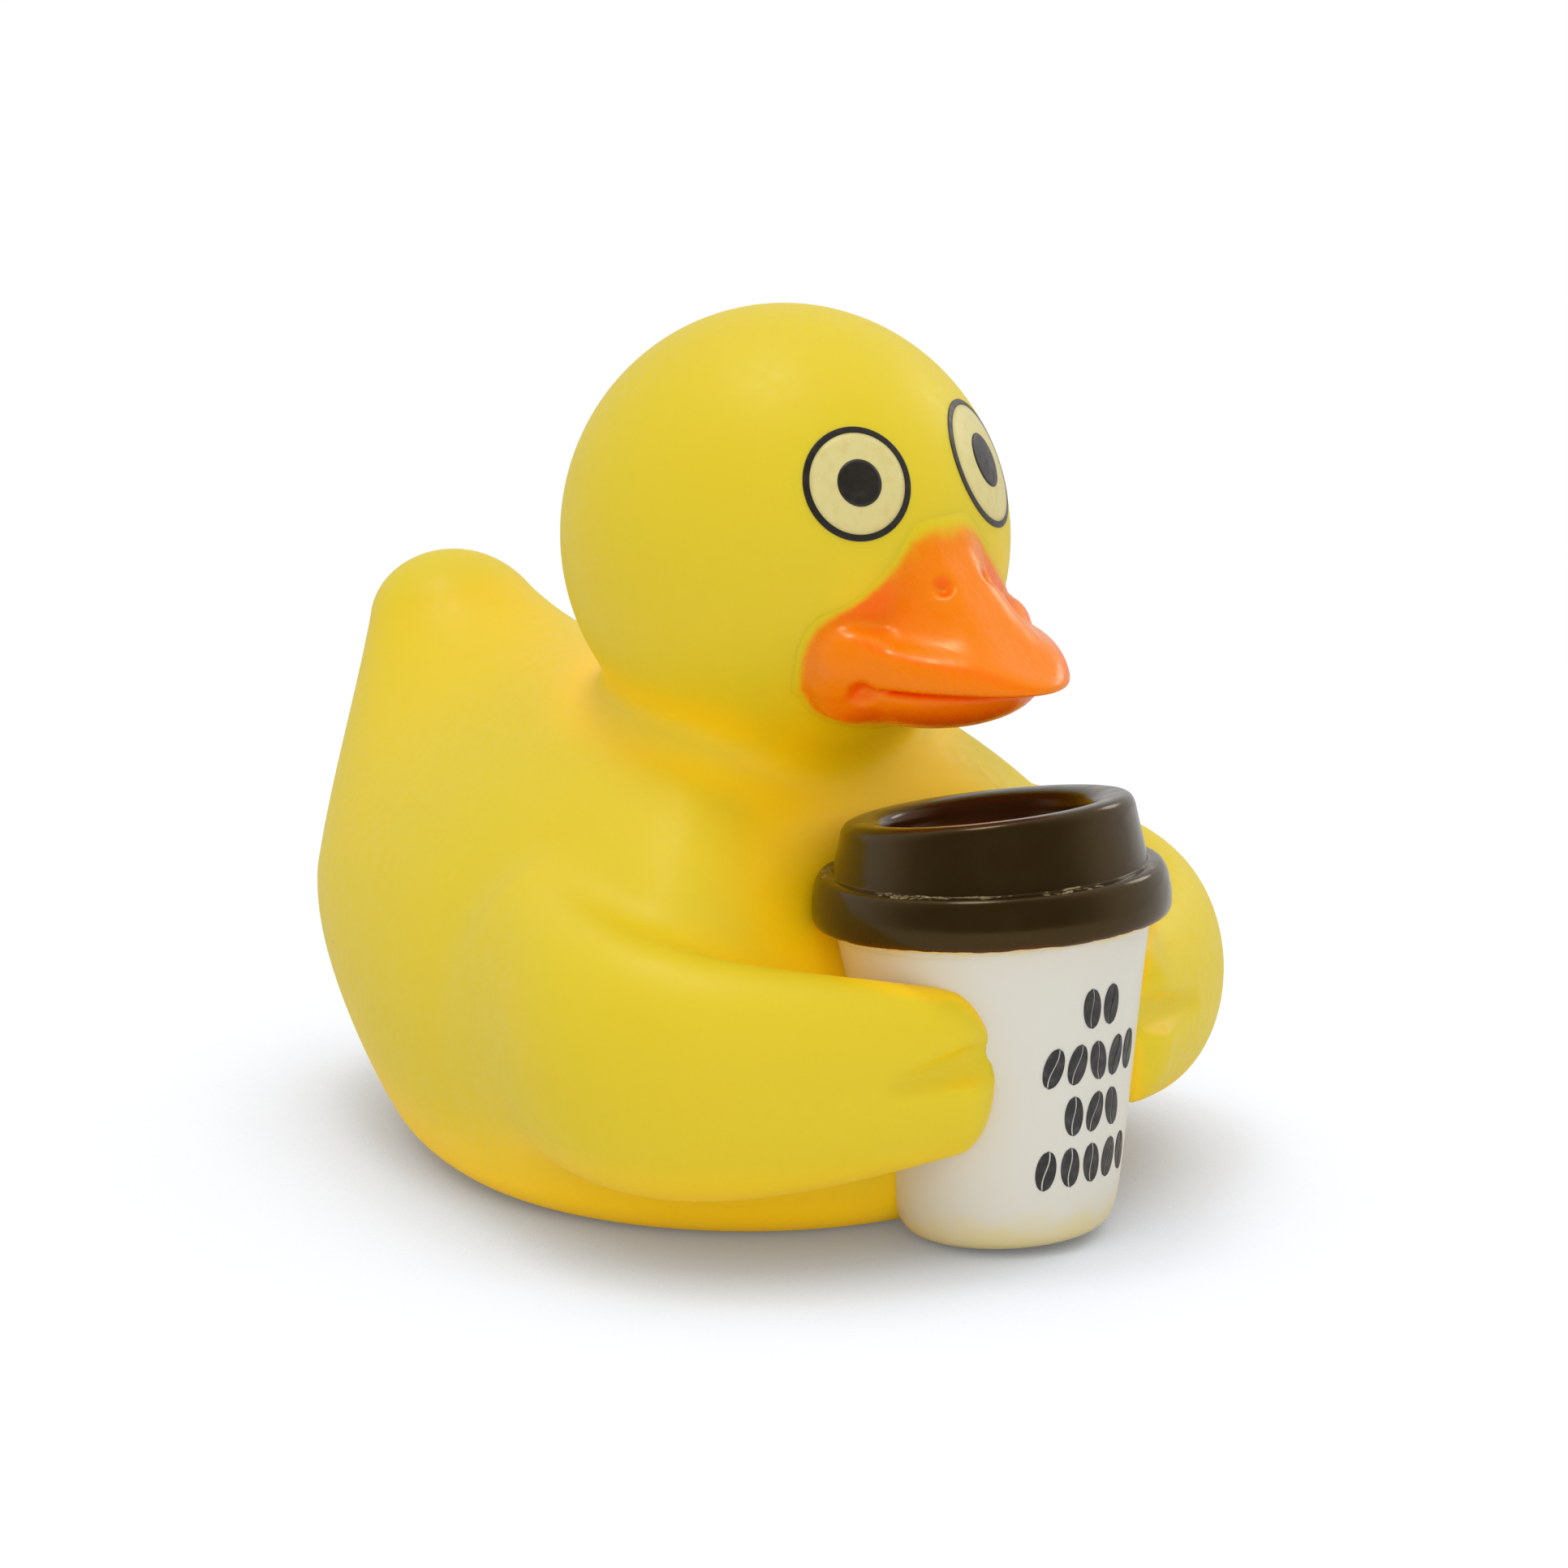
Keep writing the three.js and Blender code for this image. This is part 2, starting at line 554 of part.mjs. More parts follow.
const skinCentre = new THREE.Vector3(0, 0, SKIN_CENTRE_Z);
const billCentre = new THREE.Vector3(
  0, HEAD_CENTRE_Y - BILL_CENTRE_FORWARD, MOUTH_Z + BILL_CENTRE_HEIGHT,
);
const coloured = [
  [materials.vinyl, solid(skin(vinylSkin, skinCentre, SKIN_SPAN, SKIN_FACET))],
  [materials.bill, solid(skin(bill, billCentre, BILL_SPAN, BILL_FACET))],
  [materials.cup, solid(cup())],
  [materials.lid, solid(lid())],
];
for (const [eye, pupil] of [[RIGHT_EYE, RIGHT_PUPIL], [LEFT_EYE, LEFT_PUPIL]]) {
  const [low, middle, high] = [0, 1, 2].map((layer) => EYE_PRINT_LIFT + layer * EYE_PRINT_STEP);
  coloured.push([materials.eyeBlack, solid(eyePrint(eye, 0, low))]);
  coloured.push([materials.eyeCream, solid(eyePrint(eye, EYE_RING_WIDTH, middle))]);
  coloured.push([materials.eyeBlack, solid(eyePrint(pupil, 0, high))]);
}

// The moulding: everything joined, then hollowed and vented through the base
let moulding = coloured[0][1];
for (const [, form] of coloured.slice(1)) moulding = moulding.add(form);
const hollow = solid(skin(trunkCavity, skinCentre, SKIN_SPAN, TRUNK_CAVITY_FACET))
  .add(solid(skin(wingCavity, skinCentre, SKIN_SPAN, WING_CAVITY_FACET)))
  .add(solid(cupCavity()));
moulding = moulding.subtract(hollow).subtract(solid(vent()));

// Each paint keeps the triangles of the form it covers; cut faces show bare vinyl
const mesh = moulding.getMesh();
const geometry = new THREE.BufferGeometry();
geometry.setAttribute('position', new THREE.BufferAttribute(mesh.vertProperties, 3));
geometry.setIndex(new THREE.BufferAttribute(mesh.triVerts, 1));
const paints = Object.values(materials);
for (let run = 0; run < mesh.runOriginalID.length; run += 1) {
  const painted = coloured.find(([, form]) => form.originalID() === mesh.runOriginalID[run]);
  const paint = painted ? painted[0] : materials.vinyl;
  const start = mesh.runIndex[run];
  geometry.addGroup(start, mesh.runIndex[run + 1] - start, paints.indexOf(paint));
}
const finished = toCreasedNormals(geometry, THREE.MathUtils.degToRad(CREASE_DEG));
finished.computeBoundingBox();
const middle = finished.boundingBox.getCenter(new THREE.Vector3());
finished.translate(-middle.x, -middle.y, -finished.boundingBox.min.z);

const duckBody = new THREE.Mesh(finished, paints);
duckBody.name = 'duck_body';

const duck = new THREE.Group();
duck.add(duckBody);

export default duck;
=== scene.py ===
"""Looks of a vinyl duck that hugs a lidded takeaway cup, dressed over its CAD frame."""

import itertools
import logging
import math
from dataclasses import dataclass, field
from enum import Enum
from typing import Callable, Sequence

import bmesh
import bpy
import numpy as np
from mathutils import Matrix, Vector


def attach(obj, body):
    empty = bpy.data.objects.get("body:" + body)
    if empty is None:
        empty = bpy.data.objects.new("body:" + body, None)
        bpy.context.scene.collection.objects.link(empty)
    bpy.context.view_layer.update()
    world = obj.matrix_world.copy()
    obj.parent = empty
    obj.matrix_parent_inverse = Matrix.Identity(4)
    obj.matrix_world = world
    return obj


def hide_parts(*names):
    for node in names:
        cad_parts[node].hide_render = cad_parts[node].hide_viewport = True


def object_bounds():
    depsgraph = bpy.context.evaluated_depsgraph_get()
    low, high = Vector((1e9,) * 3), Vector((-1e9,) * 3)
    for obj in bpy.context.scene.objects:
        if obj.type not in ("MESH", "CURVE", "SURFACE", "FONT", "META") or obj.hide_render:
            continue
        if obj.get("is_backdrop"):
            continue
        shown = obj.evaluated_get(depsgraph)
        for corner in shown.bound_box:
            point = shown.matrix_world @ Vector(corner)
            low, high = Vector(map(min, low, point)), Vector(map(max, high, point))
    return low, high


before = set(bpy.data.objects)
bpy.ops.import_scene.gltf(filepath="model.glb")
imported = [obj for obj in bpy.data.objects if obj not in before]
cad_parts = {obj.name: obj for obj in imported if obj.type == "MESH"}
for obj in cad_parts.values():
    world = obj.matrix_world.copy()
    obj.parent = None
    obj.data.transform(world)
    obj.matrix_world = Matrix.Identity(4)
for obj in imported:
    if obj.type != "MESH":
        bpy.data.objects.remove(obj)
CAD_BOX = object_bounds()

LOG = logging.getLogger("duck")
MILLIMETRE = 0.001
# The source centres the moulding over its footprint after joining it
CENTRING = np.array([0.0, -0.365, 0.0])
# Corners of a lattice cell, by their steps along X, Y and Z
CORNERS = tuple(itertools.product((0, 1), repeat=3))

Array = np.ndarray
Field = Callable[[Array], Array]
Pair = tuple[float, float]
Triple = tuple[float, float, float]
Quad = tuple[float, float, float, float]
Colour = Quad
Socket = bpy.types.NodeSocket


class Slot(Enum):
    """Names of the material slots, logged with the pieces."""

    VINYL = "yellow_vinyl"
    BILL = "orange_paint"
    CUP = "off_white_paint"
    LID = "brown_paint"
    BLACK = "black_print"
    CREAM = "cream_print"


class Side(Enum):
    """The two sides of the duck, by the sign of X."""

    RIGHT = -1
    LEFT = 1


def srgb(red: int, green: int, blue: int) -> Colour:
    """Turn an sRGB colour into the linear one that Blender wants.

    Args:
        red: Red, 0 to 255.
        green: Green, 0 to 255.
        blue: Blue, 0 to 255.

    Returns:
        The linear colour with full alpha.
    """
    parts = [v / 255 for v in (red, green, blue)]
    linear = [v / 12.92 if v <= 0.04045 else ((v + 0.055) / 1.055) ** 2.4 for v in parts]
    return (linear[0], linear[1], linear[2], 1.0)


def blend_min(a: Array, b: Array, radius: float | Array) -> Array:
    """Join two distance fields with a fillet of a given width."""
    overlap = np.maximum(radius - np.abs(a - b), 0) / radius
    return np.minimum(a, b) - overlap * overlap * radius * 0.25


def blend_max(a: Array, b: Array, radius: float) -> Array:
    """Cut one distance field by another with an edge rounded to a given width."""
    return -blend_min(-a, -b, radius)


def mirrored(points: Array) -> Array:
    """The points with those of the right side carried over to the left."""
    return np.concatenate([np.abs(points[:, :1]), points[:, 1:]], 1)


def ellipsoid(offset: Array, radii: Sequence[float] | Array) -> Array:
    """Distance to an ellipsoid about the origin, close to true near its surface.

    Args:
        offset: Places measured from its middle, one row each.
        radii: Its half sizes, the same for all places or one row for each.

    Returns:
        One distance for each place.
    """
    radii = np.asarray(radii)
    inner = np.sqrt(((offset / radii) ** 2).sum(-1))
    slope = np.sqrt(((offset / radii / radii) ** 2).sum(-1))
    return inner * (inner - 1) / np.maximum(slope, 1e-6)


def tapered_capsule(
    points: Array, ends: Sequence[Sequence[float]], radii: Pair, widening: float = 1
) -> Array:
    """Distance to a tapered capsule, widened across X.

    Args:
        points: Places, one row each.
        ends: Start and end of its axis.
        radii: Radius at the start and at the end.
        widening: How much wider than deep it is.

    Returns:
        One distance for each point.
    """
    start, end = np.array(ends, float)
    along = end - start
    offset = points * np.array([1 / widening, 1, 1]) - start
    t = np.clip(offset @ along / (along @ along), 0, 1)
    return np.linalg.norm(offset - t[:, None] * along, axis=1) - (radii[0] + (radii[1] - radii[0]) * t)


@dataclass
class WingForm:
    """Limb of upright elliptical section, swept from the shoulder round to the cup, in millimetres."""

    path: Array
    half_heights: Triple = (11.8, 11.6, 8.0)
    half_thicknesses: Triple = (5.7, 7.7, 4.3)
    samples: int = 32

    def place(self, t: Array) -> Array:
        """Point of the path.

        Args:
            t: How far along, 0 to 1.

        Returns:
            One place for each t.
        """
        t = t[:, None]
        u = 1 - t
        a, b, c, d = self.path
        return u**3 * a + 3 * u * u * t * b + 3 * u * t * t * c + t**3 * d

    def heading(self, t: Array) -> Array:
        """Unit tangent of the path.

        Args:
            t: How far along, 0 to 1.

        Returns:
            One direction for each t.
        """
        t = t[:, None]
        u = 1 - t
        a, b, c, d = self.path
        way = u * u * (b - a) + 2 * u * t * (c - b) + t * t * (d - c)
        return way / np.linalg.norm(way, axis=1, keepdims=True)

    @staticmethod
    def parabola(t: Array, values: Triple) -> Array:
        """Value at t of the parabola through three values at 0, a half and 1."""
        start, middle, end = values
        return start * (1 - t) * (1 - 2 * t) + middle * 4 * t * (1 - t) + end * t * (2 * t - 1)

    def distance(self, points: Array) -> Array:
        """Distance to the limb.

        Args:
            points: Places, one row each.

        Returns:
            One distance for each point.
        """
        stations = np.linspace(0, 1, self.samples)
        places, headings = self.place(stations), self.heading(stations)
        length = np.linalg.norm(np.diff(places, axis=0), axis=1).sum()
        squared = (points**2).sum(1)[:, None] - 2 * points @ places.T + (places**2).sum(1)
        nearest = squared.argmin(1)
        ahead = ((points - places[nearest]) * headings[nearest]).sum(1)
        t = np.clip(stations[nearest] + ahead / length, 0, 1)
        tangent = self.heading(t)
        side = np.stack([tangent[:, 1], -tangent[:, 0], np.zeros(len(t))], 1)
        side /= np.linalg.norm(side, axis=1, keepdims=True)
        up = np.cross(side, tangent)
        offset = points - self.place(t)
        local = np.stack([(offset * axis).sum(1) for axis in (side, up, tangent)], 1)
        thick, high = self.parabola(t, self.half_thicknesses), self.parabola(t, self.half_heights)
        return ellipsoid(local, np.stack([thick, high, np.minimum(thick, high)], 1))


@dataclass(frozen=True)
class Ball:
    """Ball added to the bill or sunk in it, placed by side, distance forward and height over the mouth."""

    centre: Triple
    radius: float
    blend: float

    def distance(self, local: Array) -> Array:
        """Distance to the ball."""
        return np.linalg.norm(local - np.array(self.centre), axis=1) - self.radius


@dataclass
class DuckForms:
    """The duck's blended forms as distance fields, in millimetres, before centring."""

    head_centre: Triple = (0, -5.9, 62.6)
    head_radii: Triple = (21.3, 22.1, 22.3)
    neck_blend: float = 5.0
    body_centre: Triple = (0, 0, 15.8)
    body_radii: Triple = (35.0, 35.5, 32.6)
    chest_centre: Triple = (0, -17.1, 23.7)
    chest_radii: Triple = (29.5, 18.6, 12.5)
    chest_blend: float = 10.0
    tail_ends: tuple[Triple, Triple] = ((0, 39.3, 25.1), (0, 46.1, 48.0))
    tail_radii: Pair = (6.7, 3.7)
    tail_widening: float = 1.31
    tail_blend: float = 42.0
    front_z: float = 38.0
    front_y: float = -17.5
    front_slope: float = 0.625
    front_blend: float = 5.0
    base_blend: float = 4.0
    cup_foot_y: float = -36.5
    cup_lean: float = math.radians(4.3)
    cup_radii: Pair = (10.9, 14.9)
    cup_heights: Pair = (4.0, 30.4)
    lid_radius: float = 16.9
    lid_top: float = 41.0
    wing_shoulder: Triple = (29.7, -2.8, 21.4)
    wing_elbow: Triple = (39.1, -24.2, 18.2)
    wing_wrist: Triple = (27.2, -30.0, 18.1)
    wing_tip_z: float = 18.9
    wing_tip_angle: float = math.radians(65.2)
    wing_tip_standoff: float = 0.5
    wing_blends: Pair = (4.0, 5.0)
    wing_blend_y: Pair = (-20.0, -4.0)
    # Ends of the groove between the fingers: rise over the wing's tip, standoff from the cup and turn
    groove_start: Triple = (0.6, 8.0, math.radians(70.0))
    groove_end: Triple = (1.8, 2.2, math.radians(47.0))
    groove_radii: Pair = (0.9, 2.4)
    groove_blend: float = 0.9
    mouth_z: float = 52.5
    bill_root_forward: float = 14.0
    bill_tip_forward: float = 36.0
    bill_root_width: float = 14.4
    bill_half_width: float = 11.2
    bill_side_blend: float = 3.0
    bill_root_depth: float = 4.0
    brim_height: float = 1.5
    brim_curl: float = 0.02
    brim_blend: float = 2.2
    crown_height: float = 11.6
    crown_top_forward: float = 21.9
    crown_end_forward: float = 35.0
    crown_power: float = 1.4
    crown_width: float = 5.3
    lip_gap: float = 0.12
    lip_blend: float = 0.8
    mouth_blend: float = 0.3
    lower_centre: Triple = (0, 18.7, -0.2)
    lower_radii: Triple = (10.2, 12.4, 5.0)
    cheeks: tuple[Ball, ...] = (Ball((9.7, 18.8, 2.3), 3.3, 2.5), Ball((8.4, 17.6, -0.8), 3.2, 2.0))
    dimple: Ball = Ball((10.6, 21.6, -0.3), 0.75, 1.2)
    nostril: Ball = Ball((3.1, 24.6, 9.2), 0.9, 0.7)
    vent_y: float = 8.0
    vent_radius: float = 1.5
    vent_depth: float = 4.0
    floor_gap: float = 2.0
    wing: WingForm = field(init=False)
    groove: list[Array] = field(init=False)

    def __post_init__(self) -> None:
        """Work out the wing's path and its groove from the cup's place."""
        tip = self.beside_cup(self.wing_tip_z, self.wing_tip_standoff, self.wing_tip_angle)
        self.wing = WingForm(np.array([self.wing_shoulder, self.wing_elbow, self.wing_wrist, tip], float))
        self.groove = [
            self.beside_cup(self.wing_tip_z + rise, standoff, angle)
            for rise, standoff, angle in (self.groove_start, self.groove_end)
        ]

    @property
    def cup_flare(self) -> float:
        """How fast the cup's radius grows with height."""
        return (self.cup_radii[1] - self.cup_radii[0]) / (self.cup_heights[1] - self.cup_heights[0])

    def cup_radius(self, height: float | Array) -> float | Array:
        """Radius of the cup's wall at a height along its axis."""
        return self.cup_radii[0] + self.cup_flare * (height - self.cup_heights[0])

    def beside_cup(self, z: float, standoff: float, angle: float) -> Array:
        """Place beside the cup's wall.

        Args:
            z: Height above the floor.
            standoff: How far outside the wall.
            angle: Turn from the cup's front, in radians.

        Returns:
            The place, on the side of +X.
        """
        radius = self.cup_radius(z) + standoff
        axis_y = self.cup_foot_y + z * math.tan(self.cup_lean)
        return np.array([radius * math.sin(angle), axis_y - radius * math.cos(angle), z])

    def head(self, points: Array) -> Array:
        """Distance to the head."""
        return ellipsoid(points - np.array(self.head_centre), self.head_radii)

    def torso(self, points: Array) -> Array:
        """Distance to the body with its chest, its upturned tail and its flat base.

        Args:
            points: Places, one row each.

        Returns:
            One distance for each point.
        """
        belly = ellipsoid(points - np.array(self.body_centre), self.body_radii)
        tail = tapered_capsule(points, self.tail_ends, self.tail_radii, self.tail_widening)
        chest = ellipsoid(points - np.array(self.chest_centre), self.chest_radii)
        whole = blend_min(blend_min(belly, tail, self.tail_blend), chest, self.chest_blend)
        front = self.front_y + self.front_slope * (points[:, 2] - self.front_z) - points[:, 1]
        whole = blend_max(whole, front / math.hypot(1, self.front_slope), self.front_blend)
        return blend_max(whole, -points[:, 2], self.base_blend)

    def wings(self, points: Array) -> Array:
        """Distance to both wings, each with the groove that parts its tip into two fingers."""
        groove = tapered_capsule(mirrored(points), self.groove, self.groove_radii)
        return blend_max(self.wing.distance(mirrored(points)), -groove, self.groove_blend)

    def skin(self, points: Array) -> Array:
        """Distance to the whole yellow form, with a softer fillet towards the wing's root.

        Args:
            points: Places, one row each.

        Returns:
            One distance for each point.
        """
        trunk = blend_min(self.torso(points), self.head(points), self.neck_blend)
        softness = np.interp(points[:, 1], self.wing_blend_y, self.wing_blends)
        return blend_min(trunk, self.wings(points), softness)

    def vented_skin(self, points: Array) -> Array:
        """Distance to the yellow form with the vent sunk into its base."""
        away = np.hypot(points[:, 0], points[:, 1] - self.vent_y) - self.vent_radius
        return np.maximum(self.skin(points), -np.maximum(away, points[:, 2] - self.vent_depth))

    def cup(self, points: Array) -> Array:
        """Rough distance to the cup and its lid.

        Args:
            points: Places, one row each.

        Returns:
            One distance for each point.
        """
        x, y, z = points.T
        away = np.hypot(x, y - self.cup_foot_y - z * math.tan(self.cup_lean))
        wall = np.where(z > self.cup_heights[1], self.lid_radius, self.cup_radius(z))
        return np.maximum(away - wall, z - self.lid_top)

    def everything(self, points: Array) -> Array:
        """Rough distance to all that shuts a surface in: the duck, its cup and the floor below it."""
        duck = np.minimum(self.skin(points), self.bill(points))
        return np.minimum(np.minimum(duck, self.cup(points)), points[:, 2] + self.floor_gap)

    def brim_plan(self, x: Array, forward: Array) -> Array:
        """Distance to the brim's pointed outline, seen from above.

        Args:
            x: Distance to the side.
            forward: Distance forward of the head's centre.

        Returns:
            One distance for each place.
        """
        length = self.bill_tip_forward - self.bill_root_forward
        edge = (x / self.bill_root_width) ** 2 + (forward - self.bill_root_forward) / length - 1
        plan = edge / np.hypot(2 * x / self.bill_root_width**2, 1 / length)
        plan = blend_max(plan, x - self.bill_half_width, self.bill_side_blend)
        return np.maximum(plan, self.bill_root_forward - self.bill_root_depth - forward)

    def over_crown(self, x: Array, forward: Array, height: Array) -> Array:
        """Distance above the brim's curled top and the crown that rises from it.

        Args:
            x: Distance to the side.
            forward: Distance forward of the head's centre.
            height: Height over the mouth.

        Returns:
            One distance for each place.
        """
        run = self.crown_end_forward - self.crown_top_forward
        rise = np.clip((self.crown_end_forward - forward) / run, 0, 1)
        bell = 1 + (x / self.crown_width) ** 4
        crown = self.crown_height * rise**self.crown_power / bell
        top = self.brim_height + self.brim_curl * x * x + crown
        slope_x = crown * 4 * x**3 / self.crown_width**4 / bell
        slope_y = self.crown_power * crown / np.maximum(rise * run, 1)
        return (height - top) / np.sqrt(1 + slope_x**2 + slope_y**2)

    def bill(self, points: Array) -> Array:
        """Distance to the bill alone: a pointed brim under a round-topped crown, and the lower bill.

        Args:
            points: Places, one row each.

        Returns:
            One distance for each point.
        """
        x = np.abs(points[:, 0])
        forward = self.head_centre[1] - points[:, 1]
        height = points[:, 2] - self.mouth_z
        local = np.stack([x, forward, height], 1)
        upper = blend_max(self.brim_plan(x, forward), self.over_crown(x, forward, height), self.brim_blend)
        upper = blend_max(upper, self.lip_gap - height, self.lip_blend)
        bowl = ellipsoid(local - np.array(self.lower_centre), self.lower_radii)
        beak = blend_min(upper, blend_max(bowl, height + self.lip_gap, self.lip_blend), self.mouth_blend)
        for cheek in self.cheeks:
            beak = blend_min(beak, cheek.distance(local), cheek.blend)
        for pit in (self.dimple, self.nostril):
            beak = blend_max(beak, -pit.distance(local), pit.blend)
        return beak


@dataclass
class Surface:
    """Vertices in millimetres and faces of a mesh being made."""

    vertices: Array
    faces: Array

    def normals(self) -> Array:
        """Mean direction of the faces at each vertex.

        Returns:
            One unit normal for each vertex.
        """
        a, b, c = (self.vertices[self.faces[:, i]] for i in (0, 1, 2))
        face_normals = np.cross(b - a, c - a)
        total = np.zeros_like(self.vertices)
        for corner in range(self.faces.shape[1]):
            np.add.at(total, self.faces[:, corner], face_normals)
        return total / np.maximum(np.linalg.norm(total, axis=1, keepdims=True), 1e-12)


@dataclass
class Skinner:
    """Draws a closed skin of quads over everything inside a distance field, on a lattice of cells."""

    form: Field
    low: Triple
    high: Triple
    step: float
    probe: float = 0.01
    settle_rounds: int = 3
    least_slope: float = 0.05
    counts: Array = field(init=False)

    def __post_init__(self) -> None:
        """Count the lattice's places along each axis."""
        self.counts = np.ceil((np.array(self.high) - np.array(self.low)) / self.step).astype(int) + 1

    def sample(self) -> Array:
        """Value of the field at each place of the lattice.

        Returns:
            The values, by place along X, Y and Z.
        """
        axes = [low + self.step * np.arange(count) for low, count in zip(self.low, self.counts)]
        values = np.empty(self.counts)
        for i, x in enumerate(axes[0]):
            y, z = np.meshgrid(axes[1], axes[2], indexing="ij")
            points = np.stack([np.full(y.size, x), y.ravel(), z.ravel()], 1)
            values[i] = self.form(points).reshape(y.shape)
        return values

    def gradient(self, points: Array, value: Array) -> Array:
        """Slope of the field at points where its value is known."""
        moved = [self.form(points + self.probe * axis) for axis in np.eye(3)]
        return np.stack([(there - value) / self.probe for there in moved], 1)

    def settle(self, points: Array) -> Array:
        """Move points onto the surface of the field.

        Args:
            points: Places near the surface.

        Returns:
            The moved places.
        """
        for _ in range(self.settle_rounds):
            value = self.form(points)
            slope = self.gradient(points, value)
            steepness = np.maximum((slope**2).sum(1, keepdims=True), self.least_slope)
            points = points - np.clip(value, -1, 1)[:, None] * slope / steepness
        return points

    def middles(self, values: Array, cells: Array) -> Array:
        """Mean of the places where the surface crosses the edges of each cell.

        Args:
            values: The sampled field.
            cells: Cells that the surface passes through.

        Returns:
            One place for each cell.
        """
        places, crossings = np.zeros((len(cells), 3)), np.zeros(len(cells))
        for a, b in itertools.product(CORNERS, repeat=2):
            way = np.array(b) - np.array(a)
            if way.min() < 0 or way.sum() != 1:
                continue
            start, end = values[tuple((cells + a).T)], values[tuple((cells + b).T)]
            crossed = (start < 0) != (end < 0)
            t = np.where(crossed, start / np.where(crossed, start - end, 1), 0)
            places += np.where(crossed[:, None], cells + a + t[:, None] * way, 0)
            crossings += crossed
        return np.array(self.low) + self.step * places / crossings[:, None]

    def quads(self, inside: Array, numbers: Array) -> Array:
        """Faces that join the cells round each crossed edge.

        Args:
            inside: Which places of the lattice lie inside.
            numbers: Number of the vertex in each cell.

        Returns:
            Quads that face outwards.
        """
        faces = []
        for axis in range(3):
            u, v = (axis + 1) % 3, (axis + 2) % 3
            first, second = [slice(None)] * 3, [slice(None)] * 3
            first[axis], second[axis] = slice(0, self.counts[axis] - 1), slice(1, self.counts[axis])
            for other in (u, v):
                first[other] = second[other] = slice(1, self.counts[other] - 1)
            before, after = inside[tuple(first)], inside[tuple(second)]
            edges = np.argwhere(before != after)
            leaving = before[tuple(edges.T)]
            around = []
            for du, dv in ((0, 0), (1, 0), (1, 1), (0, 1)):
                cell = edges.copy()
                cell[:, u] += du
                cell[:, v] += dv
                around.append(numbers[tuple(cell.T)])
            quads = np.stack(around, 1)
            quads[~leaving] = quads[~leaving][:, ::-1]
            faces.append(quads)
        return np.concatenate(faces)

    def surface(self) -> Surface:
        """Make the skin.

        Returns:
            Its vertices and its quads.
        """
        values = self.sample()
        inside = values < 0
        cut = self.counts - 1
        shifts = [tuple(slice(c, n + c) for c, n in zip(corner, cut)) for corner in CORNERS]
        total = sum(inside[shift].astype(int) for shift in shifts)
        cells = np.argwhere((total > 0) & (total < len(CORNERS)))
        numbers = -np.ones(tuple(cut), int)
        numbers[tuple(cells.T)] = np.arange(len(cells))
        return Surface(self.settle(self.middles(values, cells)), self.quads(inside, numbers))


class Workshop:
    """Makes Blender objects and turns them into finished pieces."""

    @staticmethod
    def add(name: str, data: bpy.types.ID) -> bpy.types.Object:
        """Put data into the scene.

        Args:
            name: Name of the object.
            data: Its mesh, lamp or camera.

        Returns:
            The new object.
        """
        made = bpy.data.objects.new(name, data)
        bpy.context.scene.collection.objects.link(made)
        return made

    @staticmethod
    def mesh(name: str, places: Sequence, edges: Sequence = (), faces: Sequence = ()) -> bpy.types.Object:
        """Make a mesh object.

        Args:
            name: Name of the object.
            places: Its vertices, in metres.
            edges: Its loose edges.
            faces: Its faces.

        Returns:
            The new object, at the origin.
        """
        data = bpy.data.meshes.new(name)
        data.from_pydata(places, edges, faces)
        return Workshop.add(name, data)

    @staticmethod
    def skin(name: str, surface: Surface) -> bpy.types.Object:
        """Make a smooth mesh object from a surface.

        Args:
            name: Name of the piece.
            surface: Its vertices and faces, in millimetres before centring.

        Returns:
            The new object, at the origin.
        """
        places = (surface.vertices + CENTRING) * MILLIMETRE
        piece = Workshop.mesh(name, places.tolist(), (), surface.faces.tolist())
        piece.data.polygons.foreach_set("use_smooth", np.ones(len(piece.data.polygons), bool))
        piece.data.update()
        return piece

    @staticmethod
    def weld(piece: bpy.types.Object, reach: float = 1e-7) -> None:
        """Join points that lie on one another, as at the middle of a lens.

        Args:
            piece: The piece.
            reach: How close the points lie, in metres.
        """
        work = bmesh.new()
        work.from_mesh(piece.data)
        bmesh.ops.remove_doubles(work, verts=work.verts, dist=reach)
        work.to_mesh(piece.data)
        work.free()

    @staticmethod
    def attribute(piece: bpy.types.Object, name: str, values: Array) -> None:
        """Store one number at each vertex of a piece."""
        layer = piece.data.attributes.new(name, "FLOAT", "POINT")
        layer.data.foreach_set("value", np.asarray(values, np.float32))

    @staticmethod
    def bake_modifiers(piece: bpy.types.Object) -> None:
        """Turn a piece's evaluated result into its plain mesh and drop its modifiers.

        Args:
            piece: The piece.
        """
        graph = bpy.context.evaluated_depsgraph_get()
        result = bpy.data.meshes.new_from_object(piece.evaluated_get(graph), depsgraph=graph)
        piece.modifiers.clear()
        old = piece.data
        piece.data = result
        bpy.data.meshes.remove(old)
        result.name = piece.name

    @staticmethod
    def finish(piece: bpy.types.Object, slot: Slot, material: bpy.types.Material) -> None:
        """Dress a piece, seat it on the body and report it.

        Args:
            piece: The piece.
            slot: The material slot whose name is logged with it.
            material: Its material.
        """
        piece.data.materials.clear()
        piece.data.materials.append(material)
        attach(piece, "root")
        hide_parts("duck_body")
        LOG.info("%s: %d faces, %s", piece.name, len(piece.data.polygons), slot.value)


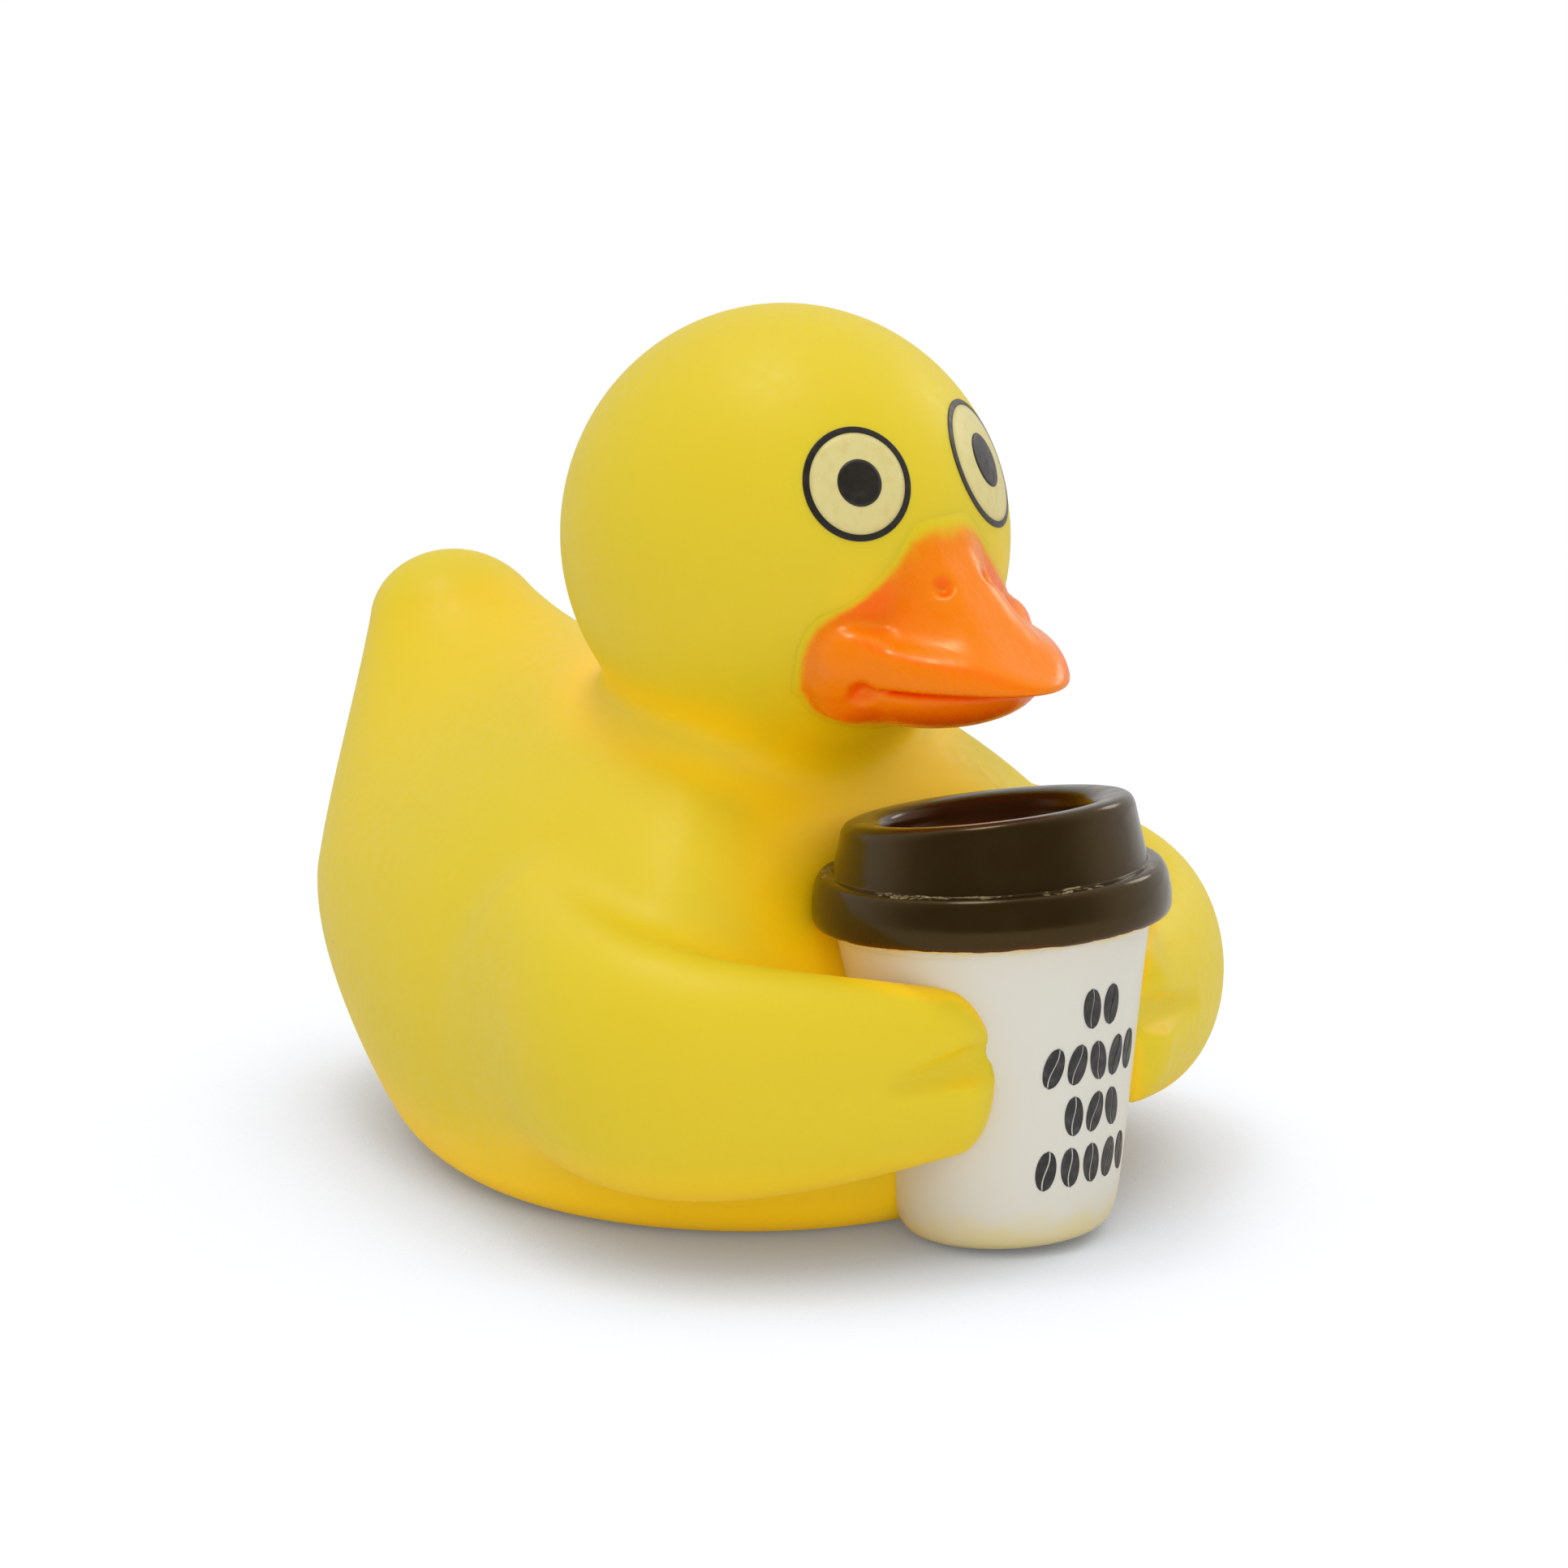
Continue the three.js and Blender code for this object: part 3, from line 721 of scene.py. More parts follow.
class NodeBoard:
    """A node tree being wired, with short calls for its nodes."""

    def __init__(self, tree: bpy.types.NodeTree) -> None:
        """Keep the tree."""
        self.tree = tree

    def put(self, value: object, socket: Socket) -> None:
        """Feed a socket.

        Args:
            value: Another socket, or a plain value.
            socket: The socket to feed.
        """
        if isinstance(value, bpy.types.NodeSocket):
            self.tree.links.new(value, socket)
        else:
            socket.default_value = value

    def node(self, kind: str, sources: dict | Sequence = (), **settings: object) -> bpy.types.Node:
        """Add a node.

        Args:
            kind: Blender's name for the node.
            sources: What feeds its inputs, by name or number, or in their order.
            settings: Its properties.

        Returns:
            The node.
        """
        made = self.tree.nodes.new(kind)
        for key, value in settings.items():
            setattr(made, key, value)
        for key, value in sources.items() if isinstance(sources, dict) else enumerate(sources):
            self.put(value, made.inputs[key])
        return made

    def math(self, operation: str, *values: object, clamp: bool = False) -> Socket:
        """Work out one number from others."""
        return self.node("ShaderNodeMath", values, operation=operation, use_clamp=clamp).outputs[0]

    def plus(self, a: object, b: object) -> Socket:
        """Sum of two numbers."""
        return self.math("ADD", a, b)

    def minus(self, a: object, b: object) -> Socket:
        """Difference of two numbers."""
        return self.math("SUBTRACT", a, b)

    def times(self, a: object, b: object) -> Socket:
        """Product of two numbers."""
        return self.math("MULTIPLY", a, b)

    def over(self, a: object, b: object, clamp: bool = False) -> Socket:
        """One number divided by another."""
        return self.math("DIVIDE", a, b, clamp=clamp)

    def ramp(self, value: object, low: float, high: float, to_low: float = 0, to_high: float = 1) -> Socket:
        """Carry a number smoothly from the range low to high into the range to_low to to_high."""
        ranges = {"From Min": low, "From Max": high, "To Min": to_low, "To Max": to_high, "Value": value}
        return self.node("ShaderNodeMapRange", ranges, interpolation_type="SMOOTHSTEP").outputs[0]

    def split(self, vector: Socket) -> Sequence[Socket]:
        """The three parts of a vector."""
        return self.node("ShaderNodeSeparateXYZ", [vector]).outputs


class Shader(NodeBoard):
    """A material's node tree, whose noises and clouds start with their waves per metre."""

    # Where soft noise is stretched to its full contrast
    spread: Pair = (0.3, 0.7)
    # Where a surface counts as barely and as fully shut in, for the painted shade and glow
    shut_range: Pair = (0.1, 0.8)

    def __init__(self, name: str) -> None:
        """Start a material with a bare Principled shader.

        Args:
            name: Name of the material.
        """
        self.material = bpy.data.materials.new(name)
        self.material.use_nodes = True
        super().__init__(self.material.node_tree)
        self.surface = self.tree.nodes["Principled BSDF"]
        self.where = self.node("ShaderNodeTexCoord").outputs["Object"]

    def mix(self, share: object, first: object, second: object) -> Socket:
        """Blend two colours."""
        sources = {"Factor": share, 6: first, 7: second}
        return self.node("ShaderNodeMix", sources, data_type="RGBA").outputs[2]

    def layer(self, share: object, first: Socket, second: Socket) -> Socket:
        """Blend two shaders."""
        return self.node("ShaderNodeMixShader", (share, first, second)).outputs[0]

    def noise(self, scale: float, detail: float = 3, stretch: Triple = (1, 1, 1)) -> Socket:
        """Soft noise over the piece.

        Args:
            scale: Waves per metre.
            detail: Finer layers.
            stretch: Factor along each axis.

        Returns:
            The noise, 0 to 1.
        """
        where = self.node("ShaderNodeMapping", {"Scale": stretch, "Vector": self.where}).outputs[0]
        sources = {"Scale": scale, "Detail": detail, "Vector": where}
        return self.node("ShaderNodeTexNoise", sources).outputs[0]

    def cloud(self, scale: float, low: float, high: float) -> Socket:
        """Soft noise that wanders between two values."""
        return self.ramp(self.noise(scale), *self.spread, low, high)

    def specks(self, scale: float, size: float, rarity: float) -> Socket:
        """Mask of small scattered specks.

        Args:
            scale: Cells per metre.
            size: Radius of a speck, as a share of a cell.
            rarity: Share of the cells that stay empty.

        Returns:
            1 on a speck and 0 off it.
        """
        cells = self.node("ShaderNodeTexVoronoi", {"Scale": scale, "Vector": self.where})
        spot = self.ramp(cells.outputs["Distance"], size, size * 0.5)
        chance = self.node("ShaderNodeSeparateColor", [cells.outputs["Color"]]).outputs[0]
        return self.times(spot, self.math("GREATER_THAN", chance, rarity))

    def stored(self, name: str) -> Socket:
        """Number stored at the piece's vertices."""
        return self.node("ShaderNodeAttribute", attribute_name=name).outputs["Fac"]

    def shut(self) -> Socket:
        """How far the surface is shut in, 0 to 1, which sets where shade and glow are painted."""
        return self.ramp(self.minus(1.0, self.stored("openness")), *self.shut_range)

    def bump(self, height: object, depth: float, strength: float = 0.5) -> None:
        """Raise fine relief, 0 to 1, on the surface to a depth in metres."""
        relief = self.node("ShaderNodeBump", {"Distance": depth, "Strength": strength, "Height": height})
        self.put(relief.outputs[0], self.surface.inputs["Normal"])

    def painted_glow(self, colour: Colour) -> None:
        """Paint a faint glow where the surface is shut in, which no lamp gives and on which no lamp ray is
        spent.
        """
        self.set(Emission_Color=self.mix(self.shut(), (0.0, 0.0, 0.0, 1.0), colour), Emission_Strength=1.0)
        self.material.cycles.emission_sampling = "NONE"

    def set(self, **values: object) -> None:
        """Set the Principled shader's sockets by name, with spaces as underscores."""
        for key, value in values.items():
            self.put(value, self.surface.inputs[key.replace("_", " ")])


@dataclass(frozen=True)
class VinylFinish:
    """Matt translucent yellow vinyl, with painted shade that deepens it to amber and a faint painted glow
    where it is shut in.
    """

    open_colour: Colour = srgb(228, 203, 30)
    # Painted shade: the colour that the vinyl deepens to where it is shut in
    painted_shade_colour: Colour = srgb(255, 206, 0)
    speck_colour: Colour = srgb(96, 78, 20)
    speck_strength: float = 0.8
    cloudiness: Triple = (70, -0.04, 0.04)
    roughness: Triple = (900, 0.44, 0.54)
    speckle: Triple = (115, 0.03, 0.82)
    ior: float = 1.43
    grain_scale: float = 1400
    grain_depth: float = 0.00003
    # Colour of a faint painted glow in shut-in places, which no lamp gives
    painted_glow: Colour = (0.06, 0.042, 0.0, 1.0)
    scatter_weight: float = 0.3
    scatter_radius: Triple = (0.0032, 0.0024, 0.0003)

    def colour(self, shader: Shader) -> Socket:
        """Colour of bare vinyl with painted shade, deeper amber where it is shut in, for the skin and for
        what the bill's paint leaves open.

        Args:
            shader: Material that it goes into.

        Returns:
            The colour.
        """
        # Painted shade: the colour deepens to amber where the surface is shut in, with random tone on top
        share = shader.math("ADD", shader.shut(), shader.cloud(*self.cloudiness), clamp=True)
        base = shader.mix(share, self.open_colour, self.painted_shade_colour)
        specks = shader.times(shader.specks(*self.speckle), self.speck_strength)
        return shader.mix(specks, base, self.speck_colour)

    def material(self) -> bpy.types.Material:
        """Make the vinyl's material.

        Returns:
            The material.
        """
        shader = Shader("yellow_vinyl")
        shader.set(
            Base_Color=self.colour(shader),
            Roughness=shader.cloud(*self.roughness),
            IOR=self.ior,
            Subsurface_Weight=self.scatter_weight,
            Subsurface_Radius=self.scatter_radius,
            Subsurface_Scale=1.0,
        )
        # Faint painted glow where the vinyl is shut in
        shader.painted_glow(self.painted_glow)
        shader.bump(shader.noise(self.grain_scale), self.grain_depth)
        return shader.material


@dataclass(frozen=True)
class BillFinish:
    """Orange satin paint with brushed streaks, sprayed thin along its edge, with painted shade that deepens
    it to red-orange and a faint painted glow where it is shut in, as in the mouth.
    """

    paint: Colour = srgb(248, 132, 2)
    # Painted shade: the paint's deeper red-orange where it is shut in
    shaded_paint_colour: Colour = srgb(254, 86, 0)
    sheen: Colour = srgb(255, 214, 170)
    # Colour of a faint painted glow where the bill is shut in
    painted_glow: Colour = (0.06, 0.012, 0.0, 1.0)
    gloss: Pair = (0.2, 0.36)
    raggedness: Triple = (1100, -0.05, 0.05)
    ior: float = 1.5
    scatter_scale: float = 0.8
    cover_range: Pair = (0.08, 0.92)
    streak_scale: float = 1500
    streak_stretch: Triple = (1, 0.16, 0.5)
    streak_depth: float = 0.00005
    grain_share: float = 0.4

    def material(self, vinyl: VinylFinish) -> bpy.types.Material:
        """Make the bill's material.

        Args:
            vinyl: Finish of the bare vinyl beside the paint.

        Returns:
            The material.
        """
        shader = Shader("orange_paint")
        # Painted shade: the paint deepens to red-orange where the bill is shut in
        paint = shader.mix(shader.shut(), self.paint, self.shaded_paint_colour)
        cover = shader.plus(shader.stored("paint"), shader.cloud(*self.raggedness))
        cover = shader.ramp(cover, *self.cover_range)
        bare = shader.minus(1.0, cover)
        streaks = shader.noise(self.streak_scale, stretch=self.streak_stretch)
        gloss = shader.ramp(streaks, *shader.spread, *self.gloss)
        matt = shader.times(bare, shader.cloud(*vinyl.roughness))
        shader.set(
            Base_Color=shader.mix(cover, vinyl.colour(shader), paint),
            Roughness=shader.plus(matt, shader.times(cover, gloss)),
            IOR=self.ior,
            Specular_Tint=self.sheen,
            Subsurface_Weight=vinyl.scatter_weight,
            Subsurface_Radius=vinyl.scatter_radius,
            Subsurface_Scale=self.scatter_scale,
        )
        # Faint painted glow where the bill is shut in
        shader.painted_glow(self.painted_glow)
        grain = shader.times(shader.times(bare, shader.noise(vinyl.grain_scale)), self.grain_share)
        shader.bump(shader.plus(shader.times(streaks, cover), grain), self.streak_depth)
        return shader.material


@dataclass(frozen=True)
class CupFinish:
    """Off-white paint, creamy where it is thin at the foot, the rim and towards the chest, with chips."""

    paint: Colour = srgb(222, 219, 208)
    thin: Colour = srgb(232, 212, 134)
    chip: Colour = srgb(120, 96, 60)
    roughness: Triple = (700, 0.34, 0.46)
    wander: Triple = (400, -0.5, 0.5)
    chips: Triple = (150, 0.034, 0.8)
    ior: float = 1.5
    relief: Pair = (500, 4)
    relief_depth: float = 0.00006
    foot: Quad = (5.0, 0.6, 0.0, 0.7)
    rim: Quad = (29.5, 30.1, 0.0, 0.4)
    back: Quad = (-0.041, -0.024, 0.0, 0.4)

    def material(self) -> bpy.types.Material:
        """Make the cup's material.

        Returns:
            The material.
        """
        shader = Shader("off_white_paint")
        level = shader.plus(shader.stored("axis_height"), shader.cloud(*self.wander))
        foot, rim = shader.ramp(level, *self.foot), shader.ramp(level, *self.rim)
        back = shader.ramp(shader.split(shader.where)[1], *self.back)
        thin = shader.math("MAXIMUM", shader.math("MAXIMUM", foot, rim), back)
        colour = shader.mix(thin, self.paint, self.thin)
        colour = shader.mix(shader.specks(*self.chips), colour, self.chip)
        shader.set(Base_Color=colour, Roughness=shader.cloud(*self.roughness), IOR=self.ior)
        shader.bump(shader.noise(*self.relief), self.relief_depth)
        return shader.material


@dataclass(frozen=True)
class LidFinish:
    """Dark brown gloss paint, reddish where it is thin, with fine scuffs along its crease."""

    paint: Colour = srgb(44, 32, 12)
    thin: Colour = srgb(70, 27, 8)
    bare: Colour = srgb(232, 206, 130)
    scuff: Colour = srgb(190, 172, 128)
    sheen: Colour = srgb(255, 218, 158)
    gloss: Triple = (500, 0.14, 0.24)
    wander: Triple = (260, -0.16, 0.16)
    ior: float = 1.5
    thin_levels: Pair = (31.0, 30.55)
    bare_levels: Pair = (30.5, 30.4)
    recess_thinness: float = 0.65
    patches: Pair = (160, 2)
    patch_levels: Pair = (0.5, 0.6)
    breaks_scale: float = 1700
    break_levels: Pair = (0.42, 0.58)
    scuff_wander: Triple = (700, -0.08, 0.08)
    scuff_below: Pair = (35.15, 35.2)
    scuff_above: Pair = (35.3, 35.24)
    scuff_strength: float = 0.6
    scuff_roughness: float = 0.3
    relief_scale: float = 350
    relief_depth: float = 0.00008
    relief_strength: float = 0.4

    def scuffs(self, shader: Shader, height: Socket) -> Socket:
        """Thin broken line of scratches in the crease under the ring.

        Args:
            shader: Material that it goes into.
            height: Height along the cup's axis, in millimetres.

        Returns:
            1 on a scratch and 0 off it.
        """
        patches = shader.ramp(shader.noise(*self.patches), *self.patch_levels)
        broken = shader.ramp(shader.noise(self.breaks_scale), *self.break_levels)
        waver = shader.plus(height, shader.cloud(*self.scuff_wander))
        line = shader.times(shader.ramp(waver, *self.scuff_below), shader.ramp(waver, *self.scuff_above))
        return shader.times(line, shader.times(patches, broken))

    def material(self) -> bpy.types.Material:
        """Make the lid's material.

        Returns:
            The material.
        """
        shader = Shader("brown_paint")
        height = shader.stored("axis_height")
        inside = shader.times(shader.stored("inward"), self.recess_thinness)
        level = shader.plus(height, shader.cloud(*self.wander))
        reddish = shader.math("MAXIMUM", shader.ramp(level, *self.thin_levels), inside)
        scuffs = self.scuffs(shader, height)
        colour = shader.mix(reddish, self.paint, self.thin)
        colour = shader.mix(shader.ramp(level, *self.bare_levels), colour, self.bare)
        colour = shader.mix(shader.times(scuffs, self.scuff_strength), colour, self.scuff)
        gloss = shader.cloud(*self.gloss)
        shader.set(
            Base_Color=colour,
            Roughness=shader.plus(gloss, shader.times(scuffs, self.scuff_roughness)),
            IOR=self.ior,
            Specular_Tint=self.sheen,
        )
        shader.bump(shader.noise(self.relief_scale), self.relief_depth, self.relief_strength)
        return shader.material


@dataclass(frozen=True)
class PrintFinish:
    """Pad-printed ink."""

    name: str
    ink: Colour
    worn: Colour
    roughness: Triple = (1300, 0.36, 0.48)
    blotches: Pair = (900, 4)
    wear: Quad = (0.42, 0.75, 0.0, 0.8)
    relief: Pair = (2500, 2)
    relief_depth: float = 0.00002

    def material(self) -> bpy.types.Material:
        """Make the ink's material.

        Returns:
            The material.
        """
        shader = Shader(self.name)
        wear = shader.ramp(shader.noise(*self.blotches), *self.wear)
        shader.set(
            Base_Color=shader.mix(wear, self.ink, self.worn),
            Roughness=shader.cloud(*self.roughness),
        )
        shader.bump(shader.noise(*self.relief), self.relief_depth)
        return shader.material


@dataclass(frozen=True)
class Openness:
    """Measures how open a surface lies, by how free it is at a few distances out, for where shade and glow
    are painted.
    """

    forms: DuckForms
    probes: tuple[Pair, ...] = ((1.5, 0.16), (5.0, 0.26), (11.0, 0.3), (22.0, 0.28))
    free_share: float = 0.95
    underside: float = 0.6
    underside_height: float = 1.5

    def measure(self, surface: Surface) -> Array:
        """Measure a surface.

        Args:
            surface: The surface.

        Returns:
            One value for each vertex, from 0 in a crevice to 1 in the open.
        """
        normals = surface.normals()
        total = np.ones(len(surface.vertices))
        for reach, share in self.probes:
            free = self.forms.everything(surface.vertices + normals * reach) / (reach * self.free_share)
            total -= share * (1 - np.clip(free, 0, 1))
        low = np.clip(1 - surface.vertices[:, 2] / self.underside_height, 0, 1)
        return np.maximum(total, self.underside * low)


@dataclass
class VinylBody:
    """Yellow skin of the body, head, tail and wings, with the vent in its base."""

    forms: DuckForms
    finish: VinylFinish
    cell: float = 0.8
    low: Triple = (-43.0, -50.0, -1.8)
    high: Triple = (43.0, 55.0, 87.3)

    def build(self) -> None:
        """Make and dress the skin."""
        surface = Skinner(self.forms.vented_skin, self.low, self.high, self.cell).surface()
        piece = Workshop.skin("body_skin", surface)
        Workshop.attribute(piece, "openness", Openness(self.forms).measure(surface))
        Workshop.finish(piece, Slot.VINYL, self.finish.material())


@dataclass
class Bill:
    """Bill with its painted root, set into the face."""

    forms: DuckForms
    finish: BillFinish
    vinyl: VinylFinish
    cell: float = 0.4
    low: Triple = (-17.0, -44.0, 44.0)
    high: Triple = (17.0, -8.5, 72.0)
    reach: float = 1.35
    proud: float = 0.015
    sunk: float = 0.03
    sinks_from: float = 1.0
    root_blend: float = 1.6
    fillet: tuple[Triple, Triple] = ((3.2, -27.7, 63.4), (8.6, -25.2, 57.2))
    fillet_radii: Pair = (1.4, 1.9)
    fillet_blend: float = 2.0
    spray_edge: Pair = (1.1, 0.15)
    top_dome: float = 0.1
    dome_half_width: float = 6.0
    top_fade: Pair = (69.0, 64.0)
    foot_fade: Pair = (47.6, 49.4)
    thinnest: float = 0.4

    def sprayed(self, points: Array) -> Array:
        """Distance to what the spray covers: the bill, with the corners beside its crown filled."""
        fillet = tapered_capsule(mirrored(points), self.fillet, self.fillet_radii)
        return blend_min(self.forms.bill(points), fillet, self.fillet_blend)

    def form(self, points: Array) -> Array:
        """Distance to the bill and the ring of face about its root, which dives under the face.

        Args:
            points: Places, one row each.

        Returns:
            One distance for each point.
        """
        spray = self.sprayed(points)
        dive = np.clip((spray - self.sinks_from) / (self.reach - self.sinks_from), 0, 1)
        face = self.forms.head(points) - self.proud + (self.proud + self.sunk) * dive
        return np.maximum(blend_min(self.forms.bill(points), face, self.root_blend), spray - self.reach)

    @staticmethod
    def fade(values: Array, ends: Pair) -> Array:
        """Share of the way from one end to the other, 0 to 1."""
        return np.clip((values - ends[0]) / (ends[1] - ends[0]), 0, 1)

    def paint_cover(self, points: Array) -> Array:
        """How much of the surface the spray covers, thinner at the crown's top and under the lower bill.

        Args:
            points: Places, one row each.

        Returns:
            One share for each point.
        """
        dome = self.top_dome * np.minimum(np.abs(points[:, 0]), self.dome_half_width) ** 2
        top = self.fade(points[:, 2] + dome, self.top_fade)
        foot = self.fade(points[:, 2], self.foot_fade)
        thin = self.thinnest + (1 - self.thinnest) * np.minimum(top, foot)
        return self.fade(self.sprayed(points), self.spray_edge) * thin

    def build(self) -> None:
        """Make and dress the bill."""
        surface = Skinner(self.form, self.low, self.high, self.cell).surface()
        piece = Workshop.skin("bill", surface)
        Workshop.attribute(piece, "openness", Openness(self.forms).measure(surface))
        Workshop.attribute(piece, "paint", self.paint_cover(surface.vertices))
        Workshop.finish(piece, Slot.BILL, self.finish.material(self.vinyl))


class ShapeTree(NodeBoard):
    """A geometry node tree with named inputs that shapes a piece of the cup."""

    def __init__(self, name: str, inputs: dict[str, str]) -> None:
        """Start a tree.

        Args:
            name: Name of the tree.
            inputs: Kind of each named input after the geometry.
        """
        super().__init__(bpy.data.node_groups.new(name, "GeometryNodeTree"))
        for label, kind in {"Geometry": "Geometry", **inputs}.items():
            self.tree.interface.new_socket(label, in_out="INPUT", socket_type="NodeSocket" + kind)
        self.tree.interface.new_socket("Geometry", in_out="OUTPUT", socket_type="NodeSocketGeometry")
        self.given = self.node("NodeGroupInput").outputs
        self.result = self.node("NodeGroupOutput").inputs[0]

    def store(self, geometry: Socket, name: str, value: Socket) -> Socket:
        """Keep a number at each point of a geometry."""
        sources = {"Geometry": geometry, "Name": name, "Value": value}
        return self.node("GeometryNodeStoreNamedAttribute", sources, data_type="FLOAT").outputs[0]

    def round_cup(self, radius: Socket, angle: Socket, height: Socket) -> Socket:
        """Place about the cup's axis at an angle from its front, leaned back with it."""
        x = self.times(radius, self.math("SINE", angle))
        return self.lean(x, self.behind(radius, angle), height)

    def behind(self, radius: Socket, angle: Socket) -> Socket:
        """Distance behind the cup's axis."""
        return self.times(radius, self.times(self.math("COSINE", angle), -1.0))

    def lean(self, x: Socket, y: Socket, z: Socket) -> Socket:
        """Lean a place back with the cup and keep it above the floor.

        Args:
            x: Distance to the side.
            y: Distance behind the cup's axis.
            z: Height along the axis.

        Returns:
            The place.
        """
        cosine, sine = self.math("COSINE", self.given["Lean"]), self.math("SINE", self.given["Lean"])
        back = self.plus(self.plus(self.times(y, cosine), self.times(z, sine)), self.given["Foot"])
        up = self.minus(self.times(z, cosine), self.times(y, sine))
        return self.node("ShaderNodeCombineXYZ", (x, back, self.math("MAXIMUM", up, 0.0))).outputs[0]

    def close(self, geometry: Socket) -> None:
        """End the tree in Realize Instances and Set Material.

        Args:
            geometry: What the tree has made.
        """
        real = self.node("GeometryNodeRealizeInstances", [geometry]).outputs[0]
        dressed = self.node("GeometryNodeSetMaterial", {"Geometry": real, "Material": self.given["Finish"]})
        self.put(dressed.outputs[0], self.result)

    def apply(self, piece: bpy.types.Object, values: dict[str, object]) -> None:
        """Run the tree on a piece and keep the result as its plain mesh.

        Args:
            piece: Object whose mesh is the tree's geometry.
            values: Value of each named input.
        """
        modifier = piece.modifiers.new("shape", "NODES")
        modifier.node_group = self.tree
        for item in self.tree.interface.items_tree:
            if item.item_type == "SOCKET" and item.in_out == "INPUT" and item.name in values:
                modifier[item.identifier] = values[item.name]
        Workshop.bake_modifiers(piece)


class RevolveTree(ShapeTree):
    """Revolves a profile about the cup's axis, slants its top and leans it back."""

    weld_reach: float = 0.000005

    def __init__(self) -> None:
        """Build the tree."""
        inputs = {"Segments": "Int", "Profile Points": "Int"}
        lengths = ("Lean", "Foot", "Slant", "Slant From", "Slant Over", "Recess Radius")
        inputs.update(dict.fromkeys(lengths, "Float"), Finish="Material")
        super().__init__("revolve_with_cup", inputs)
        given = self.given
        sources = {"Vertices X": self.plus(given["Segments"], 1), "Vertices Y": given["Profile Points"]}
        grid = self.node("GeometryNodeMeshGrid", sources)
        index = self.node("GeometryNodeInputIndex").outputs[0]
        row = self.math("MODULO", index, given["Profile Points"])
        column = self.math("FLOOR", self.over(index, given["Profile Points"]))
        angle = self.times(self.over(column, given["Segments"]), math.tau)
        place = self.node("GeometryNodeInputPosition").outputs[0]
        sources = {"Geometry": given["Geometry"], "Value": place, "Index": row}
        sample = self.node("GeometryNodeSampleIndex", sources, data_type="FLOAT_VECTOR")
        radius, _, height = self.split(sample.outputs[0])
        share = self.over(self.minus(height, given["Slant From"]), given["Slant Over"], clamp=True)
        slope = self.times(share, self.math("TANGENT", given["Slant"]))
        slanted = self.minus(height, self.times(slope, self.behind(radius, angle)))
        stored = self.store(grid.outputs["Mesh"], "axis_height", self.times(height, 1 / MILLIMETRE))
        stored = self.store(stored, "inward", self.math("LESS_THAN", radius, given["Recess Radius"]))
        sources = {"Geometry": stored, "Position": self.round_cup(radius, angle, slanted)}
        placed = self.node("GeometryNodeSetPosition", sources).outputs[0]
        sources = {"Geometry": placed, "Distance": self.weld_reach}
        welded = self.node("GeometryNodeMergeByDistance", sources).outputs[0]
        self.close(self.node("GeometryNodeSetShadeSmooth", {"Geometry": welded}).outputs[0])


@dataclass
class RevolvedPiece:
    """A piece turned about the cup's axis, from a profile of radius and height in millimetres."""

    forms: DuckForms
    name: str
    slot: Slot
    finish: CupFinish | LidFinish
    profile: tuple[Pair, ...]
    segments: int = 144
    softness: int = 2
    corner_cut: float = 0.25
    slant: float = 0.0
    slant_from: float = 0.0
    slant_over: float = 1.0
    recess_radius: float = 0.0

    def rounded(self) -> Array:
        """Cut the profile's corners round, with its ends kept.

        Returns:
            The rounded profile.
        """
        line = np.array(self.profile, float)
        for _ in range(self.softness):
            first = line[:-1] * (1 - self.corner_cut) + line[1:] * self.corner_cut
            second = line[:-1] * self.corner_cut + line[1:] * (1 - self.corner_cut)
            middle = np.stack([first, second], 1).reshape(-1, 2)[1:-1]
            line = np.concatenate([line[:1], middle, line[-1:]])
        return line

    def build(self, tree: RevolveTree) -> None:
        """Make and dress the piece.

        Args:
            tree: The tree that revolves its profile.
        """
        rows = [(radius, 0, height) for radius, height in self.rounded() * MILLIMETRE]
        piece = Workshop.mesh(self.name, rows, [(i, i + 1) for i in range(len(rows) - 1)])
        material = self.finish.material()
        tree.apply(
            piece,
            {
                "Segments": self.segments,
                "Profile Points": len(rows),
                "Lean": self.forms.cup_lean,
                "Foot": (self.forms.cup_foot_y + float(CENTRING[1])) * MILLIMETRE,
                "Slant": self.slant,
                "Slant From": self.slant_from * MILLIMETRE,
                "Slant Over": self.slant_over * MILLIMETRE,
                "Recess Radius": self.recess_radius * MILLIMETRE,
                "Finish": material,
            },
        )
        Workshop.finish(piece, self.slot, material)


@dataclass
class CupWall(RevolvedPiece):
    """Cup from its rounded foot to the rolled edge under the lid."""

    name: str = "cup_wall"
    slot: Slot = Slot.CUP
    finish: CupFinish | LidFinish = field(default_factory=CupFinish)
    profile: tuple[Pair, ...] = (
        (0, 0), (6.0, 0), (8.2, 0.1), (9.7, 0.9), (10.5, 2.6), (10.9, 4.4), (11.5, 8.0), (14.0, 25.0),
        (14.68, 29.0), (14.74, 29.35), (14.92, 29.6), (15.0, 30.2), (14.6, 30.8), (13.0, 31.2), (0, 31.2),
    )


